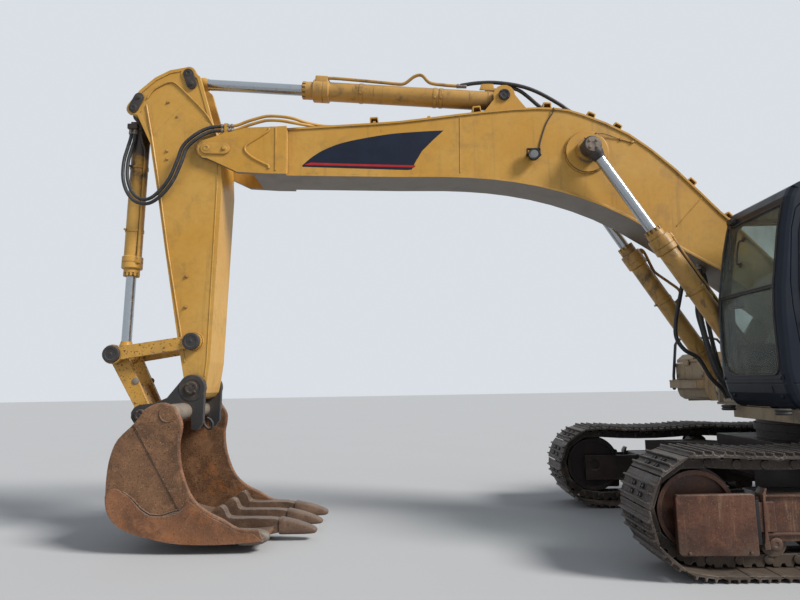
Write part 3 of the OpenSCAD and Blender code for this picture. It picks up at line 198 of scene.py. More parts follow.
def weathered(name, base, faded, dirt_and_shade, chip, dirty=0.5, worn=0.5, dusty=0.4, gloss=0.42, mud=None,
              dust_colour=DUST, specular=0.5, belly=0.0, pits=0.0, soot=None):
    """Old paint: faded patches, grime, run-off streaks, dust on top, chipped edges, painted shade in hollows and
    undersides.

    mud is (low, high, colour), full below low and gone above high; soot is (low, high), none below low and
    full above high. Heights are in metres.
    """
    s = Shader(name)
    big = s.noise(0.8, 5, 0.6)
    mid = s.noise(3.7, 9, 0.68, warp=0.4)
    small = s.noise(19, 6, 0.7)
    fine = s.noise(150, 3)
    streak = s.noise(5, 6, 0.65, stretch=(2.4, 2.4, 0.22), warp=0.3)
    colour = s.mix(s.ramp(big, 0.36, 0.66), base, faded)
    colour = s.mix(s.ramp(small, 0.35, 0.75, 0.0, 0.22), colour, tuple(0.62 * c for c in base))
    colour = s.mix(s.times(s.ramp(mid, 0.5, 0.72), 0.85 * dirty), colour, dirt_and_shade)
    upright = s.ramp(s.math("ABSOLUTE", s.axis(s.facing, "Z")), 0.75, 0.35)
    runs = s.times(s.ramp(streak, 0.54, 0.74, 0.0, 0.8 * dirty), upright)
    colour = s.mix(runs, colour, dirt_and_shade)
    # Crevices darkened to the dirt colour by ambient occlusion: partly grime, partly painted shade. The dirty amount
    # also sets how strong this painted shade is.
    colour = s.mix(s.times(s.occlusion_shade(), 0.35 + 0.5 * dirty), colour, dirt_and_shade)
    above = s.ramp(s.axis(s.facing, "Z"), 0.35, 0.95)
    laid = s.times(above, s.ramp(s.noise(2.3, 7, 0.6), 0.25, 0.7, 0.35 * dusty, dusty))
    colour = s.mix(laid, colour, dust_colour)
    if soot:
        level = s.plus(s.axis(s.place, "Z"), s.ramp(s.noise(4.5, 7, 0.65), 0.25, 0.75, -0.35, 0.35))
        colour = s.mix(s.ramp(level, soot[0], soot[1], 0.0, 0.97), colour, SOOT)
    # Faces that look down are mixed toward grey: painted shade on the underside.
    if belly:
        under = s.times(s.ramp(s.axis(s.facing, "Z"), -0.35, -0.85), belly)
        colour = s.mix(under, colour, UNDERSIDE_SHADE_GREY)
    if mud:
        low, high, tone = mud
        level = s.plus(s.axis(s.place, "Z"), s.ramp(s.noise(2.6, 7, 0.65), 0.25, 0.75, -0.28, 0.28))
        colour = s.mix(s.ramp(level, high, low, 0.0, 0.88), colour, tone)
    edge = s.times(s.edges(0.011), s.ramp(s.noise(11, 7, 0.7), 0.60 - 0.2 * worn, 0.72 - 0.2 * worn))
    spots = s.ramp(s.noise(26, 5, 0.6, warp=0.8), 0.735 - 0.03 * worn, 0.765 - 0.03 * worn)
    if pits:
        deep = s.ramp(s.noise(44, 5, 0.65, warp=0.5), 0.66 - 0.08 * pits, 0.70 - 0.08 * pits)
        spots = s.math("MAXIMUM", spots, deep)
    chips = s.math("MAXIMUM", s.times(edge, min(1.0, 0.5 + worn)), spots)
    chip_colour = s.mix(s.ramp(small, 0.4, 0.62), chip, tuple(1.9 * c for c in chip))
    colour = s.mix(chips, colour, chip_colour)
    rough = s.ramp(s.plus(s.times(mid, 0.6), s.times(chips, 0.5)), 0.2, 0.8,
                   gloss, min(0.95, gloss + 0.42))
    height = s.math("SUBTRACT", s.plus(s.times(fine, 0.10), s.times(mid, 0.35)),
                    s.times(chips, 0.5))
    return s.finish(colour, rough, s.bump(height, 0.35, 0.004), Specular_IOR_Level=specular)


def old_yellow(name, *wear, **more):
    return weathered(f"yellow_paint_{name}", YELLOW, YELLOW_FADED, YELLOW_DIRT_AND_SHADE, DARK_RUST, *wear, **more)


def rusted(name, base, dark, orange, bright=0.35, orange_share=0.45, gloss=0.55, mud=None, metal=0.0, specks=0.0,
           wet=0.0, streaks=0.0, inner=None):
    """Bare worked steel: layered browns, orange bloom, painted shade in the hollows and rubbed bright edges.

    mud is as for paint; inner is how far from the machine's middle, in metres, the steel is painted near-black as
    shade.
    """
    s = Shader(name)
    big = s.noise(1.3, 6, 0.65, warp=0.5)
    mid = s.noise(6.5, 9, 0.7, warp=0.6)
    fine = s.noise(70, 6, 0.7)
    scratch = s.noise(9, 5, 0.7, stretch=(0.5, 7.0, 0.6))
    colour = s.mix(s.ramp(big, 0.34, 0.66), dark, base)
    colour = s.mix(s.ramp(mid, 0.42, 0.70, 0.0, 0.75), colour, tuple(1.35 * c for c in base))
    colour = s.mix(s.ramp(fine, 0.4, 0.75, 0.0, 0.4), colour, dark)
    bloom = s.times(s.ramp(s.noise(2.1, 7, 0.7), 0.56, 0.70), orange_share)
    colour = s.mix(bloom, colour, orange)
    if specks:
        colour = s.mix(s.ramp(s.noise(62, 4, 0.6), 0.56, 0.66, 0.0, specks), colour, tuple(0.45 * c for c in dark))
        colour = s.mix(s.ramp(s.noise(88, 3, 0.6), 0.60, 0.68, 0.0, 0.8 * specks), colour, PALE_RUST)
    if streaks:
        run = s.noise(7, 6, 0.7, stretch=(2.2, 2.2, 0.18), warp=0.4)
        colour = s.mix(s.ramp(run, 0.52, 0.70, 0.0, streaks), colour, PALE_RUST)
        colour = s.mix(s.ramp(run, 0.48, 0.34, 0.0, streaks), colour, dark)
    # Hollows darkened by the ambient occlusion mask: painted shade.
    colour = s.mix(s.times(s.occlusion_shade(0.25), 0.55), colour, tuple(0.6 * c for c in dark))
    # Steel nearer the machine's middle is darkened to near-black: painted shade of the inner faces.
    if inner:
        across = s.math("ABSOLUTE", s.axis(s.place, "Y"))
        colour = s.mix(s.ramp(across, inner + 0.06, inner - 0.06, 0.0, 0.88), colour, INNER_SHADE_BLACK)
    laid = s.times(s.ramp(s.axis(s.facing, "Z"), 0.3, 0.9), s.ramp(mid, 0.3, 0.7, 0.15, 0.55))
    colour = s.mix(laid, colour, GREY_DUST)
    if mud:
        low, high, tone = mud
        level = s.plus(s.axis(s.place, "Z"), s.ramp(s.noise(3.1, 7, 0.65), 0.25, 0.75, -0.2, 0.2))
        colour = s.mix(s.ramp(level, high, low, 0.0, 0.8), colour, tone)
    rubbed = s.times(s.edges(0.016, 0.015, 0.2), s.ramp(scratch, 0.42, 0.62))
    colour = s.mix(s.times(rubbed, bright), colour, BARE_STEEL)
    rough = s.ramp(mid, 0.3, 0.7, gloss, 0.92 - 0.4 * wet)
    height = s.plus(s.times(mid, 0.8), s.times(fine, 0.35))
    return s.finish(colour, rough, s.bump(height, 0.5, 0.007, 0.008), Metallic=metal, Specular_IOR_Level=0.35)


def chromed():
    s = Shader("chrome_rod_film")
    film = s.noise(5, 6, 0.6, stretch=(1, 1, 3))
    drip = s.ramp(s.noise(16, 6, 0.7), 0.55, 0.75, 0.0, 0.5)
    colour = s.mix(drip, (0.40, 0.43, 0.46), (0.16, 0.14, 0.12))
    fine = s.noise(240, 2, stretch=(1, 1, 8))
    return s.finish(colour, s.ramp(film, 0.3, 0.7, 0.12, 0.34), s.bump(fine, 0.06, 0.001, 0.003), Metallic=0.9)


def glass(name, tint, film_colour, film_share):
    """Pane with a film of dust; light passes it as if it were clear."""
    s = Shader(name)
    s.finish(tint, 0.03, None, Transmission_Weight=1.0, IOR=1.15)
    film = s.node("ShaderNodeBsdfDiffuse", {"Color": film_colour})
    smear = s.ramp(s.noise(3.5, 8, 0.7, stretch=(1, 1, 0.5), warp=1.2), 0.35, 0.75, 0.4 * film_share, film_share)
    dusty = s.node("ShaderNodeMixShader", {0: smear, 1: s.surface.outputs[0], 2: film.outputs[0]})
    clear = s.node("ShaderNodeBsdfTransparent", {"Color": (0.72, 0.76, 0.74)})
    path = s.node("ShaderNodeLightPath")
    both = s.node("ShaderNodeMixShader", {0: path.outputs["Is Shadow Ray"], 1: dusty.outputs[0],
                                          2: clear.outputs[0]})
    s.link(both.outputs[0], s.out.inputs["Surface"])
    return s.material


def rubber(name, tone=0.02):
    s = Shader(name)
    scuff = s.noise(14, 7, 0.7)
    colour = s.mix(s.ramp(scuff, 0.45, 0.75, 0.0, 0.6), (tone, tone, tone * 1.1), (0.11, 0.10, 0.09))
    laid = s.ramp(s.axis(s.facing, "Z"), 0.3, 1.0, 0.0, 0.35)
    colour = s.mix(laid, colour, GREY_DUST)
    weave = s.noise(160, 2)
    return s.finish(colour, s.ramp(scuff, 0.3, 0.7, 0.45, 0.75), s.bump(weave, 0.25, 0.002, 0.003))


def moulded(name, colour, rough=0.6, grain=260):
    s = Shader(name)
    wear = s.noise(6, 6, 0.6)
    tone = s.mix(s.ramp(wear, 0.4, 0.7, 0.0, 0.45), colour, tuple(min(1, 1.6 * c + 0.004) for c in colour))
    return s.finish(tone, rough, s.bump(s.noise(grain, 3), 0.3, 0.0015, 0.004), Specular_IOR_Level=0.3)


def lens():
    s = Shader("lamp_lens")
    ribs = s.noise(90, 1, stretch=(1, 0.1, 0.1))
    return s.finish((0.20, 0.21, 0.21), 0.2, s.bump(ribs, 0.4, 0.002, 0.002), Metallic=0.35)


MUD = (0.105, 0.078, 0.058)
LOOK = {
    "yellow": old_yellow("old", 0.42, 0.42, 0.4),
    # The boom's faces that look down get painted shade.
    "boom": old_yellow("boom", 0.38, 0.4, 0.4, belly=0.92),
    "sooty": old_yellow("sooty", 0.7, 0.6, 0.3, soot=(3.5, 3.95)),
    "chipped": old_yellow("chipped", 0.6, 1.0, 0.4, pits=1.0),
    "house": old_yellow("house", 0.55, 0.4, 0.75, mud=(1.0, 1.75, GREY_DUST)),
    "greasy": weathered("yellow_paint_greasy", (0.45, 0.24, 0.045), (0.56, 0.32, 0.09), (0.05, 0.038, 0.03),
                        DARK_RUST, 1.0, 0.6, 0.5, 0.36),
    "deck": weathered("deck_paint_dirty", (0.34, 0.26, 0.16), (0.30, 0.26, 0.21), (0.07, 0.055, 0.045), DARK_RUST,
                      0.9, 0.7, 0.8, 0.6, dust_colour=GREY_DUST),
    "beige": weathered("toolbox_paint", (0.34, 0.245, 0.13), (0.30, 0.235, 0.15), (0.10, 0.07, 0.045), RUST, 0.9, 0.9,
                       0.5, 0.55, pits=0.4),
    "navy": weathered("cab_paint", NAVY_BLACK, (0.009, 0.015, 0.028), (0.02, 0.02, 0.019), (0.05, 0.045, 0.04),
                      0.3, 0.25, 0.4, 0.36, dust_colour=(0.09, 0.085, 0.078), specular=0.25),
    "black": weathered("black_paint_old", (0.022, 0.022, 0.025), (0.04, 0.04, 0.042), (0.10, 0.075, 0.055),
                       (0.12, 0.06, 0.03), 0.7, 0.8, 0.8, 0.5, dust_colour=GREY_DUST, specular=0.35),
    "grey": weathered("grey_paint_old", (0.22, 0.185, 0.15), (0.27, 0.23, 0.19), (0.11, 0.075, 0.05), RUST, 0.8, 0.8,
                      0.6, 0.55, dust_colour=GREY_DUST),
    # Undercarriage steel; near the machine's middle it gets painted shade.
    "frame": rusted("frame_steel_rust", (0.135, 0.056, 0.033), (0.050, 0.023, 0.016), ORANGE_RUST, 0.3, 0.2, 0.3,
                    mud=(0.0, 0.4, MUD), specks=0.5, wet=0.9, streaks=0.3, inner=1.36),
    "track": rusted("track_steel_worn", (0.062, 0.047, 0.040), (0.022, 0.018, 0.016), (0.17, 0.075, 0.04), 0.75, 0.3,
                    0.42, mud=(0.0, 0.25, MUD), metal=0.25, specks=0.3, wet=0.5),
    "bucket": rusted("bucket_steel_rust", (0.225, 0.115, 0.058), (0.095, 0.048, 0.026), ORANGE_RUST, 0.6, 0.6, 0.45,
                     specks=0.85, wet=0.4),
    "wear": rusted("bucket_wear_steel", (0.275, 0.120, 0.056), (0.13, 0.058, 0.030), ORANGE_RUST, 0.6, 0.35, 0.4,
                   specks=0.6, wet=0.6),
    "tooth": rusted("tooth_steel_worn", (0.185, 0.112, 0.075), (0.085, 0.052, 0.036), (0.30, 0.14, 0.06), 0.9, 0.35,
                    0.4, specks=0.5, wet=0.5),
    "iron": rusted("engine_iron_old", (0.10, 0.10, 0.105), (0.05, 0.05, 0.052), RUST, 0.2, 0.2),
    "bare": rusted("worn_steel", (0.30, 0.26, 0.22), (0.15, 0.12, 0.10), (0.26, 0.12, 0.05), 0.8, 0.15, 0.35,
                   metal=0.5),
    "chrome": chromed(),
    "glass": glass("window_glass_dusty", (0.62, 0.70, 0.67), (0.30, 0.31, 0.27), 0.30),
    "rubber": rubber("hose_rubber_old"),
    "seal": rubber("window_seal", 0.012),
    "plastic": moulded("interior_plastic_dark", (0.035, 0.036, 0.04)),
    "seat": moulded("seat_cloth", (0.028, 0.03, 0.036), 0.85, 420),
    "headliner": moulded("headliner_beige", (0.46, 0.43, 0.34), 0.8, 500),
    "lamp": moulded("lamp_plastic", (0.018, 0.018, 0.02), 0.45),
    "lens": lens(),
    "decal": moulded("decal_navy", (0.003, 0.008, 0.022), 0.5, 90),
    "decal_red": moulded("decal_red", (0.42, 0.02, 0.02), 0.35, 90),
}
NODES_OF_LOOK = {
    "frame": "carbody track_frames track_rollers idlers final_drives lifting_lugs",
    "track": "track_left track_right",
    "deck": "upper_frame",
    "black": "swing_bearing handrails exhaust_stack quick_coupler",
    "house": "counterweight rear_cowl fuel_tank hydraulic_tank radiator_housing pump_housing engine_hood"
             " radiator_door pump_door",
    "iron": "engine_block",
    "navy": "cab_shell cab_door",
    "glass": "cab_glass door_glass",
    "plastic": "cab_interior",
    "beige": "toolbox toolbox_lid",
    "boom": "boom",
    "greasy": "boom_lines boom_cylinder_barrels",
    "lamp": "work_lamp",
    "chrome": "boom_cylinder_rods stick_cylinder_rod bucket_cylinder_rod",
    "yellow": "stick_cylinder_barrel stick bucket_cylinder_barrel",
    "chipped": "guide_links power_link",
    "bucket": "bucket",
    "tooth": "bucket_teeth",
    "rubber": "tip_hoses",
}


def dress_nodes():
    for look, names in NODES_OF_LOOK.items():
        for name in names.split():
            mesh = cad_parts[name].data
            mesh.materials.clear()
            mesh.materials.append(LOOK[look])


class Build:
    """Gathers the faces of one piece from machine points in millimetres, then ties it to its body, or bakes it into
    the shared frame when bend is given.
    """

    def __init__(self, name, body, look, *replaced, smooth=35, bend=None):
        self.name, self.body, self.look, self.replaced, self.smooth = name, body, look, replaced, smooth
        self.bend = bend
        self.bm = bmesh.new()

    def __enter__(self):
        return self

    def __exit__(self, kind, value, trace):
        if kind:
            return
        bmesh.ops.recalc_face_normals(self.bm, faces=self.bm.faces)
        mesh = bpy.data.meshes.new(self.name)
        self.bm.to_mesh(mesh)
        self.bm.free()
        for polygon in mesh.polygons:
            polygon.use_smooth = True
        mesh.set_sharp_from_angle(angle=math.radians(self.smooth))
        mesh.materials.append(LOOK[self.look])
        piece = bpy.data.objects.new(self.name, mesh)
        bpy.context.scene.collection.objects.link(piece)
        self.piece = piece
        if self.bend:
            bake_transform(piece)
        else:
            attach(piece, self.body)
        if self.replaced:
            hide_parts(*self.replaced)

    def rings(self, rings):
        """Skins a run of rings that have one number of points, and closes both ends."""
        loops = [[self.bm.verts.new(p) for p in ring] for ring in rings]
        for a, b in zip(loops, loops[1:]):
            for i in range(len(a)):
                j = (i + 1) % len(a)
                self.bm.faces.new((a[i], a[j], b[j], b[i]))
        self.bm.faces.new(loops[0][::-1])
        self.bm.faces.new(loops[-1])

    def lathe(self, centre, axis, profile, sides=24):
        """Turns a profile of (radius, height) in millimetres round an axis through a machine point."""
        axis = Vector(axis).normalized()
        u = axis.orthogonal().normalized()
        v = axis.cross(u)
        c = at(*centre)
        self.rings([[c + axis * h / 1000 + (u * math.cos(t) + v * math.sin(t)) * r / 1000
                     for t in (2 * math.pi * k / sides for k in range(sides))] for r, h in profile])

    def bolt(self, centre, axis, r=16, h=11, washer=1.45):
        """Hex head on its washer, chamfered on top."""
        self.lathe(centre, axis, [(r * washer, -2), (r * washer, 2.5), (r * washer - 2, 4)], 16)
        self.lathe(centre, axis, [(r, 3), (r, h), (0.8 * r, h + 2.5)], 6)

    def bolts(self, xs, ys, zs, axis, r, h, washer=1.45):
        """Bolts at every combination of the given X, Y and Z values."""
        for place in itertools.product(xs, ys, zs):
            self.bolt(place, axis, r, h, washer)

    def bolt_circle(self, centre, axis, radius, count, r, h, washer=1.45, turn=0.0):
        """Bolts on a circle round an axis along Y or Z; turn is a share of one step."""
        x, y, z = centre
        for k in range(count):
            t = 2 * math.pi * (k + turn) / count
            c, s = radius * math.cos(t), radius * math.sin(t)
            self.bolt((x + c, y, z + s) if axis[1] else (x + c, y + s, z), axis, r, h, washer)

    def tube(self, points, r, sides=10, radius_at=None, metres=False):
        """Round tube along machine points, or along metres where they are already in the shared frame."""
        path = [Vector(p) if metres else at(*p) for p in points]
        count = len(path)
        side = None
        rings = []
        for i, p in enumerate(path):
            d = (path[min(i + 1, count - 1)] - path[max(i - 1, 0)]).normalized()
            side = d.orthogonal().normalized() if side is None else (side - d * side.dot(d)).normalized()
            up = d.cross(side)
            s = (radius_at(i / (count - 1)) if radius_at else 1.0) * r / 1000
            rings.append([p + (side * math.cos(t) + up * math.sin(t)) * s
                          for t in (2 * math.pi * k / sides for k in range(sides))])
        self.rings(rings)

    def slab(self, outline, y0, y1, bevel=4, segments=2):
        """Side-view outline between two Y values, with rounded edges."""
        verts = [[self.bm.verts.new(at(x, y, z)) for x, z in outline] for y in sorted((y0, y1))]
        faces = [self.bm.faces.new(verts[0]), self.bm.faces.new(verts[1][::-1])]
        for i in range(len(outline)):
            j = (i + 1) % len(outline)
            faces.append(self.bm.faces.new((verts[0][j], verts[0][i], verts[1][i], verts[1][j])))
        self.soften(faces, bevel, segments)

    def block(self, x0, x1, y0, y1, z0, z1, bevel=5, segments=2):
        self.slab([(x0, z0), (x1, z0), (x1, z1), (x0, z1)], y0, y1, bevel, segments)

    def soften(self, faces, bevel, segments):
        if bevel:
            edges = list({edge for face in faces for edge in face.edges})
            bmesh.ops.bevel(self.bm, geom=edges, offset=bevel / 1000, segments=segments, profile=0.6,
                            affect="EDGES", clamp_overlap=True)

    def weld(self, points, r=7):
        """Bead with laid ripples along machine points."""
        path = [at(*p) for p in points]
        fine = []
        for a, b in zip(path, path[1:]):
            steps = max(2, int((b - a).length / 0.012))
            fine += [a.lerp(b, k / steps) for k in range(steps)]
        fine.append(path[-1])
        wave = len(fine)
        self.tube(fine, r, 6, metres=True, radius_at=lambda t: 0.86 + 0.2 * abs(math.sin(t * wave * 1.9)))


def ring_profile(r, h, narrow, chamfer=3):
    """Lathe profile of a ring of radius r and height h, narrower by some millimetres at both ends."""
    return [(r - narrow, 0), (r, chamfer), (r, h - chamfer), (r - narrow, h)]


def curve_through(points, steps=6):
    """Catmull-Rom points through given ones."""
    out = []
    last = len(points) - 1
    for i in range(last):
        a, b, c, d = (Vector(points[max(0, min(last, i + k))]) for k in (-1, 0, 1, 2))
        for k in range(steps):
            t = k / steps
            out.append(0.5 * (2 * b + (c - a) * t + (2 * a - 5 * b + 4 * c - d) * t * t
                              + (3 * b - a - 3 * c + d) * t ** 3))
    out.append(Vector(points[-1]))
    return out


def smooth_line(pairs, steps=4):
    """Side-view pairs of the curve through given ones."""
    return [(p.x, p.z) for p in curve_through([(x, 0, z) for x, z in pairs], steps)]


def ring_of(centre, r, a0, a1, count, y):
    """Machine points on a side-view arc."""
    turns = [math.radians(a0 + (a1 - a0) * k / (count - 1)) for k in range(count)]
    return [(centre[0] + r * math.cos(t), y, centre[1] + r * math.sin(t)) for t in turns]


# Arm pins in side view, in millimetres: the same points as in the part's source.
BOOM_FOOT, BOOM_TIP = (200, 2100), (6120, 3881)
BOOM_CYL_FOOT, BOOM_CYL_EYE = (715, 1350), (2226, 3770)
STICK_CYL_FOOT, STICK_CYL_EYE = (3029, 4443), (6352, 4733)
BUCKET_CYL_FOOT, LINK_PIN = (6918, 4365), (6998, 1792)
GUIDE_PIN, BUCKET_PIN, COUPLER_PIN = (6215, 1903), (6200, 1450), (6690, 1200)
WEB_Y = 218
NOSE_Y = 285
STICK_Y = 225
LIFT_Y = 375
SIDES = (1, -1)
# Other centres in side view, and the radii and barrel lengths of the cylinders.
TORQUE_TUBE, WORK_LAMP = (6262, 1229), (2780, 3730)
LIFT_ROD_R, STICK_ROD_R, BUCKET_ROD_R = 52, 58, 50
LIFT_BARREL_R, STICK_BARREL_R, BUCKET_BARREL_R = 88, 100, 88
LIFT_BARREL_L, STICK_BARREL_L, BUCKET_BARREL_L = 1836, 2160, 1755
BOOM_TOP = [(831, 3040), (916, 3113), (1338, 3579), (1776, 3957), (2233, 4181), (2512, 4255), (2939, 4261),
            (3534, 4213), (4130, 4153), (4666, 4129), (5400, 4100)]
BOOM_LOW = [(5489, 3598), (4141, 3548), (3672, 3537), (3206, 3501), (2743, 3418), (2286, 3275), (1838, 3062),
            (1312, 2713), (985, 2517)]
# Route of the outer hose from the boom's fitting round the stick's head, as in the part's source.
HOSE_ROUTE = [(5945.3, 266, 4122), (5990, 266, 4122), (6110, 290, 4095), (6230, 325, 4010), (6345, 330, 3895),
              (6400, 330, 3740), (6475, 325, 3560), (6580, 310, 3430), (6700, 280, 3360), (6830, 230, 3390),
              (6930, 180, 3490), (6990, 150, 3640), (7000, 125, 3820), (6975, 112, 3960), (6945, 108, 4090),
              (6945, 108, 4180)]
HOSE_STEP = 46
HOSE_R = 18


def beside(route, d):
    """The route moved sideways by d in side view, to its right as it runs."""
    out = []
    for i, p in enumerate(route):
        a, c = route[max(i - 1, 0)], route[min(i + 1, len(route) - 1)]
        length = math.hypot(c[0] - a[0], c[2] - a[2])
        out.append((p[0] + d * (c[2] - a[2]) / length, p[1], p[2] - d * (c[0] - a[0]) / length))
    return out


def add_hose(name, route, r, sides, bend, *replaced):
    """Hose along machine points, baked into the shared frame and tied to no body; the bodies and points in bend are
    not used.
    """
    with Build(name, None, "rubber", *replaced, bend=bend) as b:
        b.tube(route, r, sides)


def add_tip_hoses():
    """The two hoses round the stick's head, the outer one first."""
    bend = ("boom", "stick", at(5990, 266, 4122), at(6700, 280, 3360))
    for name, shift, replaced in (("tip_hose_1", 0, ["tip_hoses"]), ("tip_hose_2", HOSE_STEP, [])):
        add_hose(name, curve_through(beside(HOSE_ROUTE, shift), 4), HOSE_R, 14, bend, *replaced)


def line_frame(a, b):
    """Function from (distance along, offset left, y) to a machine point, along the side-view line a to b."""
    length = math.dist(a, b)
    ux, uz = (b[0] - a[0]) / length, (b[1] - a[1]) / length
    return lambda t, n=0, y=0: (a[0] + ux * t - uz * n, y, a[1] + uz * t + ux * n)


def flat(points):
    """Side-view pairs of machine points."""
    return [(p[0], p[2]) for p in points]


def inward(line, d):
    """Side-view pairs of a line moved by d to the right of the way it runs."""
    return flat(beside(line, d))


def cap(b, centre, y, r, rise=14, bolts=0, low=-6):
    """Turned cap over a pin's end, facing away from the middle, with a ring of bolts on request."""
    side = 1 if y > 0 else -1
    b.lathe((centre[0], y, centre[1]), (0, side, 0),
            [(r, low), (r, rise - 4), (r - 5, rise), (0.66 * r, rise), (0.62 * r, rise - 4), (0.2 * r, rise - 4),
             (0.16 * r, rise - 1), (1, rise - 1)], 32)
    b.bolt_circle((centre[0], y + side * (rise - 3), centre[1]), (0, side, 0), 0.8 * r, bolts,
                  0.11 * r + 2, 0.1 * r + 3, 1.25, 0.5)


def stadium(p, q, r, steps=7):
    """Side-view outline of a plate with round ends at p and q."""
    a = math.degrees(math.atan2(q[1] - p[1], q[0] - p[0]))
    ends = ((q, a - 90), (p, a + 90))
    turns = [(c, math.radians(t0 + 180 * k / steps)) for c, t0 in ends for k in range(steps + 1)]
    return [(c[0] + r * math.cos(t), c[1] + r * math.sin(t)) for c, t in turns]


def keeper(b, pin, y, angle, length=130, r=56):
    """Pin plate with round ends, from the pin to its one bolt, with the pin's lifting hole."""
    side = 1 if y > 0 else -1
    t = math.radians(angle)
    end = (pin[0] + length * math.cos(t), pin[1] + length * math.sin(t))
    b.slab(stadium(pin, end, r), y, y + side * 18, 5)
    b.lathe((pin[0], y + side * 17, pin[1]), (0, side, 0),
            [(34, -2), (34, 3), (30, 5), (17, 5), (15, -8), (1, -8)], 24)
    b.bolt((end[0], y + side * 17, end[1]), (0, side, 0), 20, 15)


def add_arm_pins():
    with Build("boom_pin_keepers", "boom", "yellow") as b:
        for s in SIDES:
            keeper(b, BOOM_TIP, s * (NOSE_Y - 1), 183, 185, 60)
            b.weld(ring_of(BOOM_TIP, 88, 300, 420, 14, s * (NOSE_Y + 1)), 6)
    with Build("stick_pin_keepers", "stick", "black") as b:
        for s in SIDES:
            keeper(b, STICK_CYL_EYE, s * (STICK_Y - 1), 252, 125, 54)
            keeper(b, BUCKET_CYL_FOOT, s * (STICK_Y - 1), 115, 125, 52)
            cap(b, GUIDE_PIN, s * 301, 84, 18, 0, -14)
            cap(b, BUCKET_PIN, s * 301, 60, 14, 4, -14)
    with Build("stick_cylinder_pin_caps", "boom", "black") as b:
        for s in SIDES:
            cap(b, STICK_CYL_FOOT, s * 172, 60, 12, 4)
    with Build("guide_pin_caps", "guide", "black") as b:
        for s in SIDES:
            cap(b, LINK_PIN, s * 299, 84, 18, 0, -13)


def block_on(b, f, t0, t1, n0, n1, y0, y1, bevel, segments=2):
    """Block between two distances along a line and two offsets from it."""
    b.slab(flat([f(t0, n0), f(t1, n0), f(t1, n1), f(t0, n1)]), y0, y1, bevel, segments)


def boom_face(points, y):
    return [(x, y, z) for x, z in points]


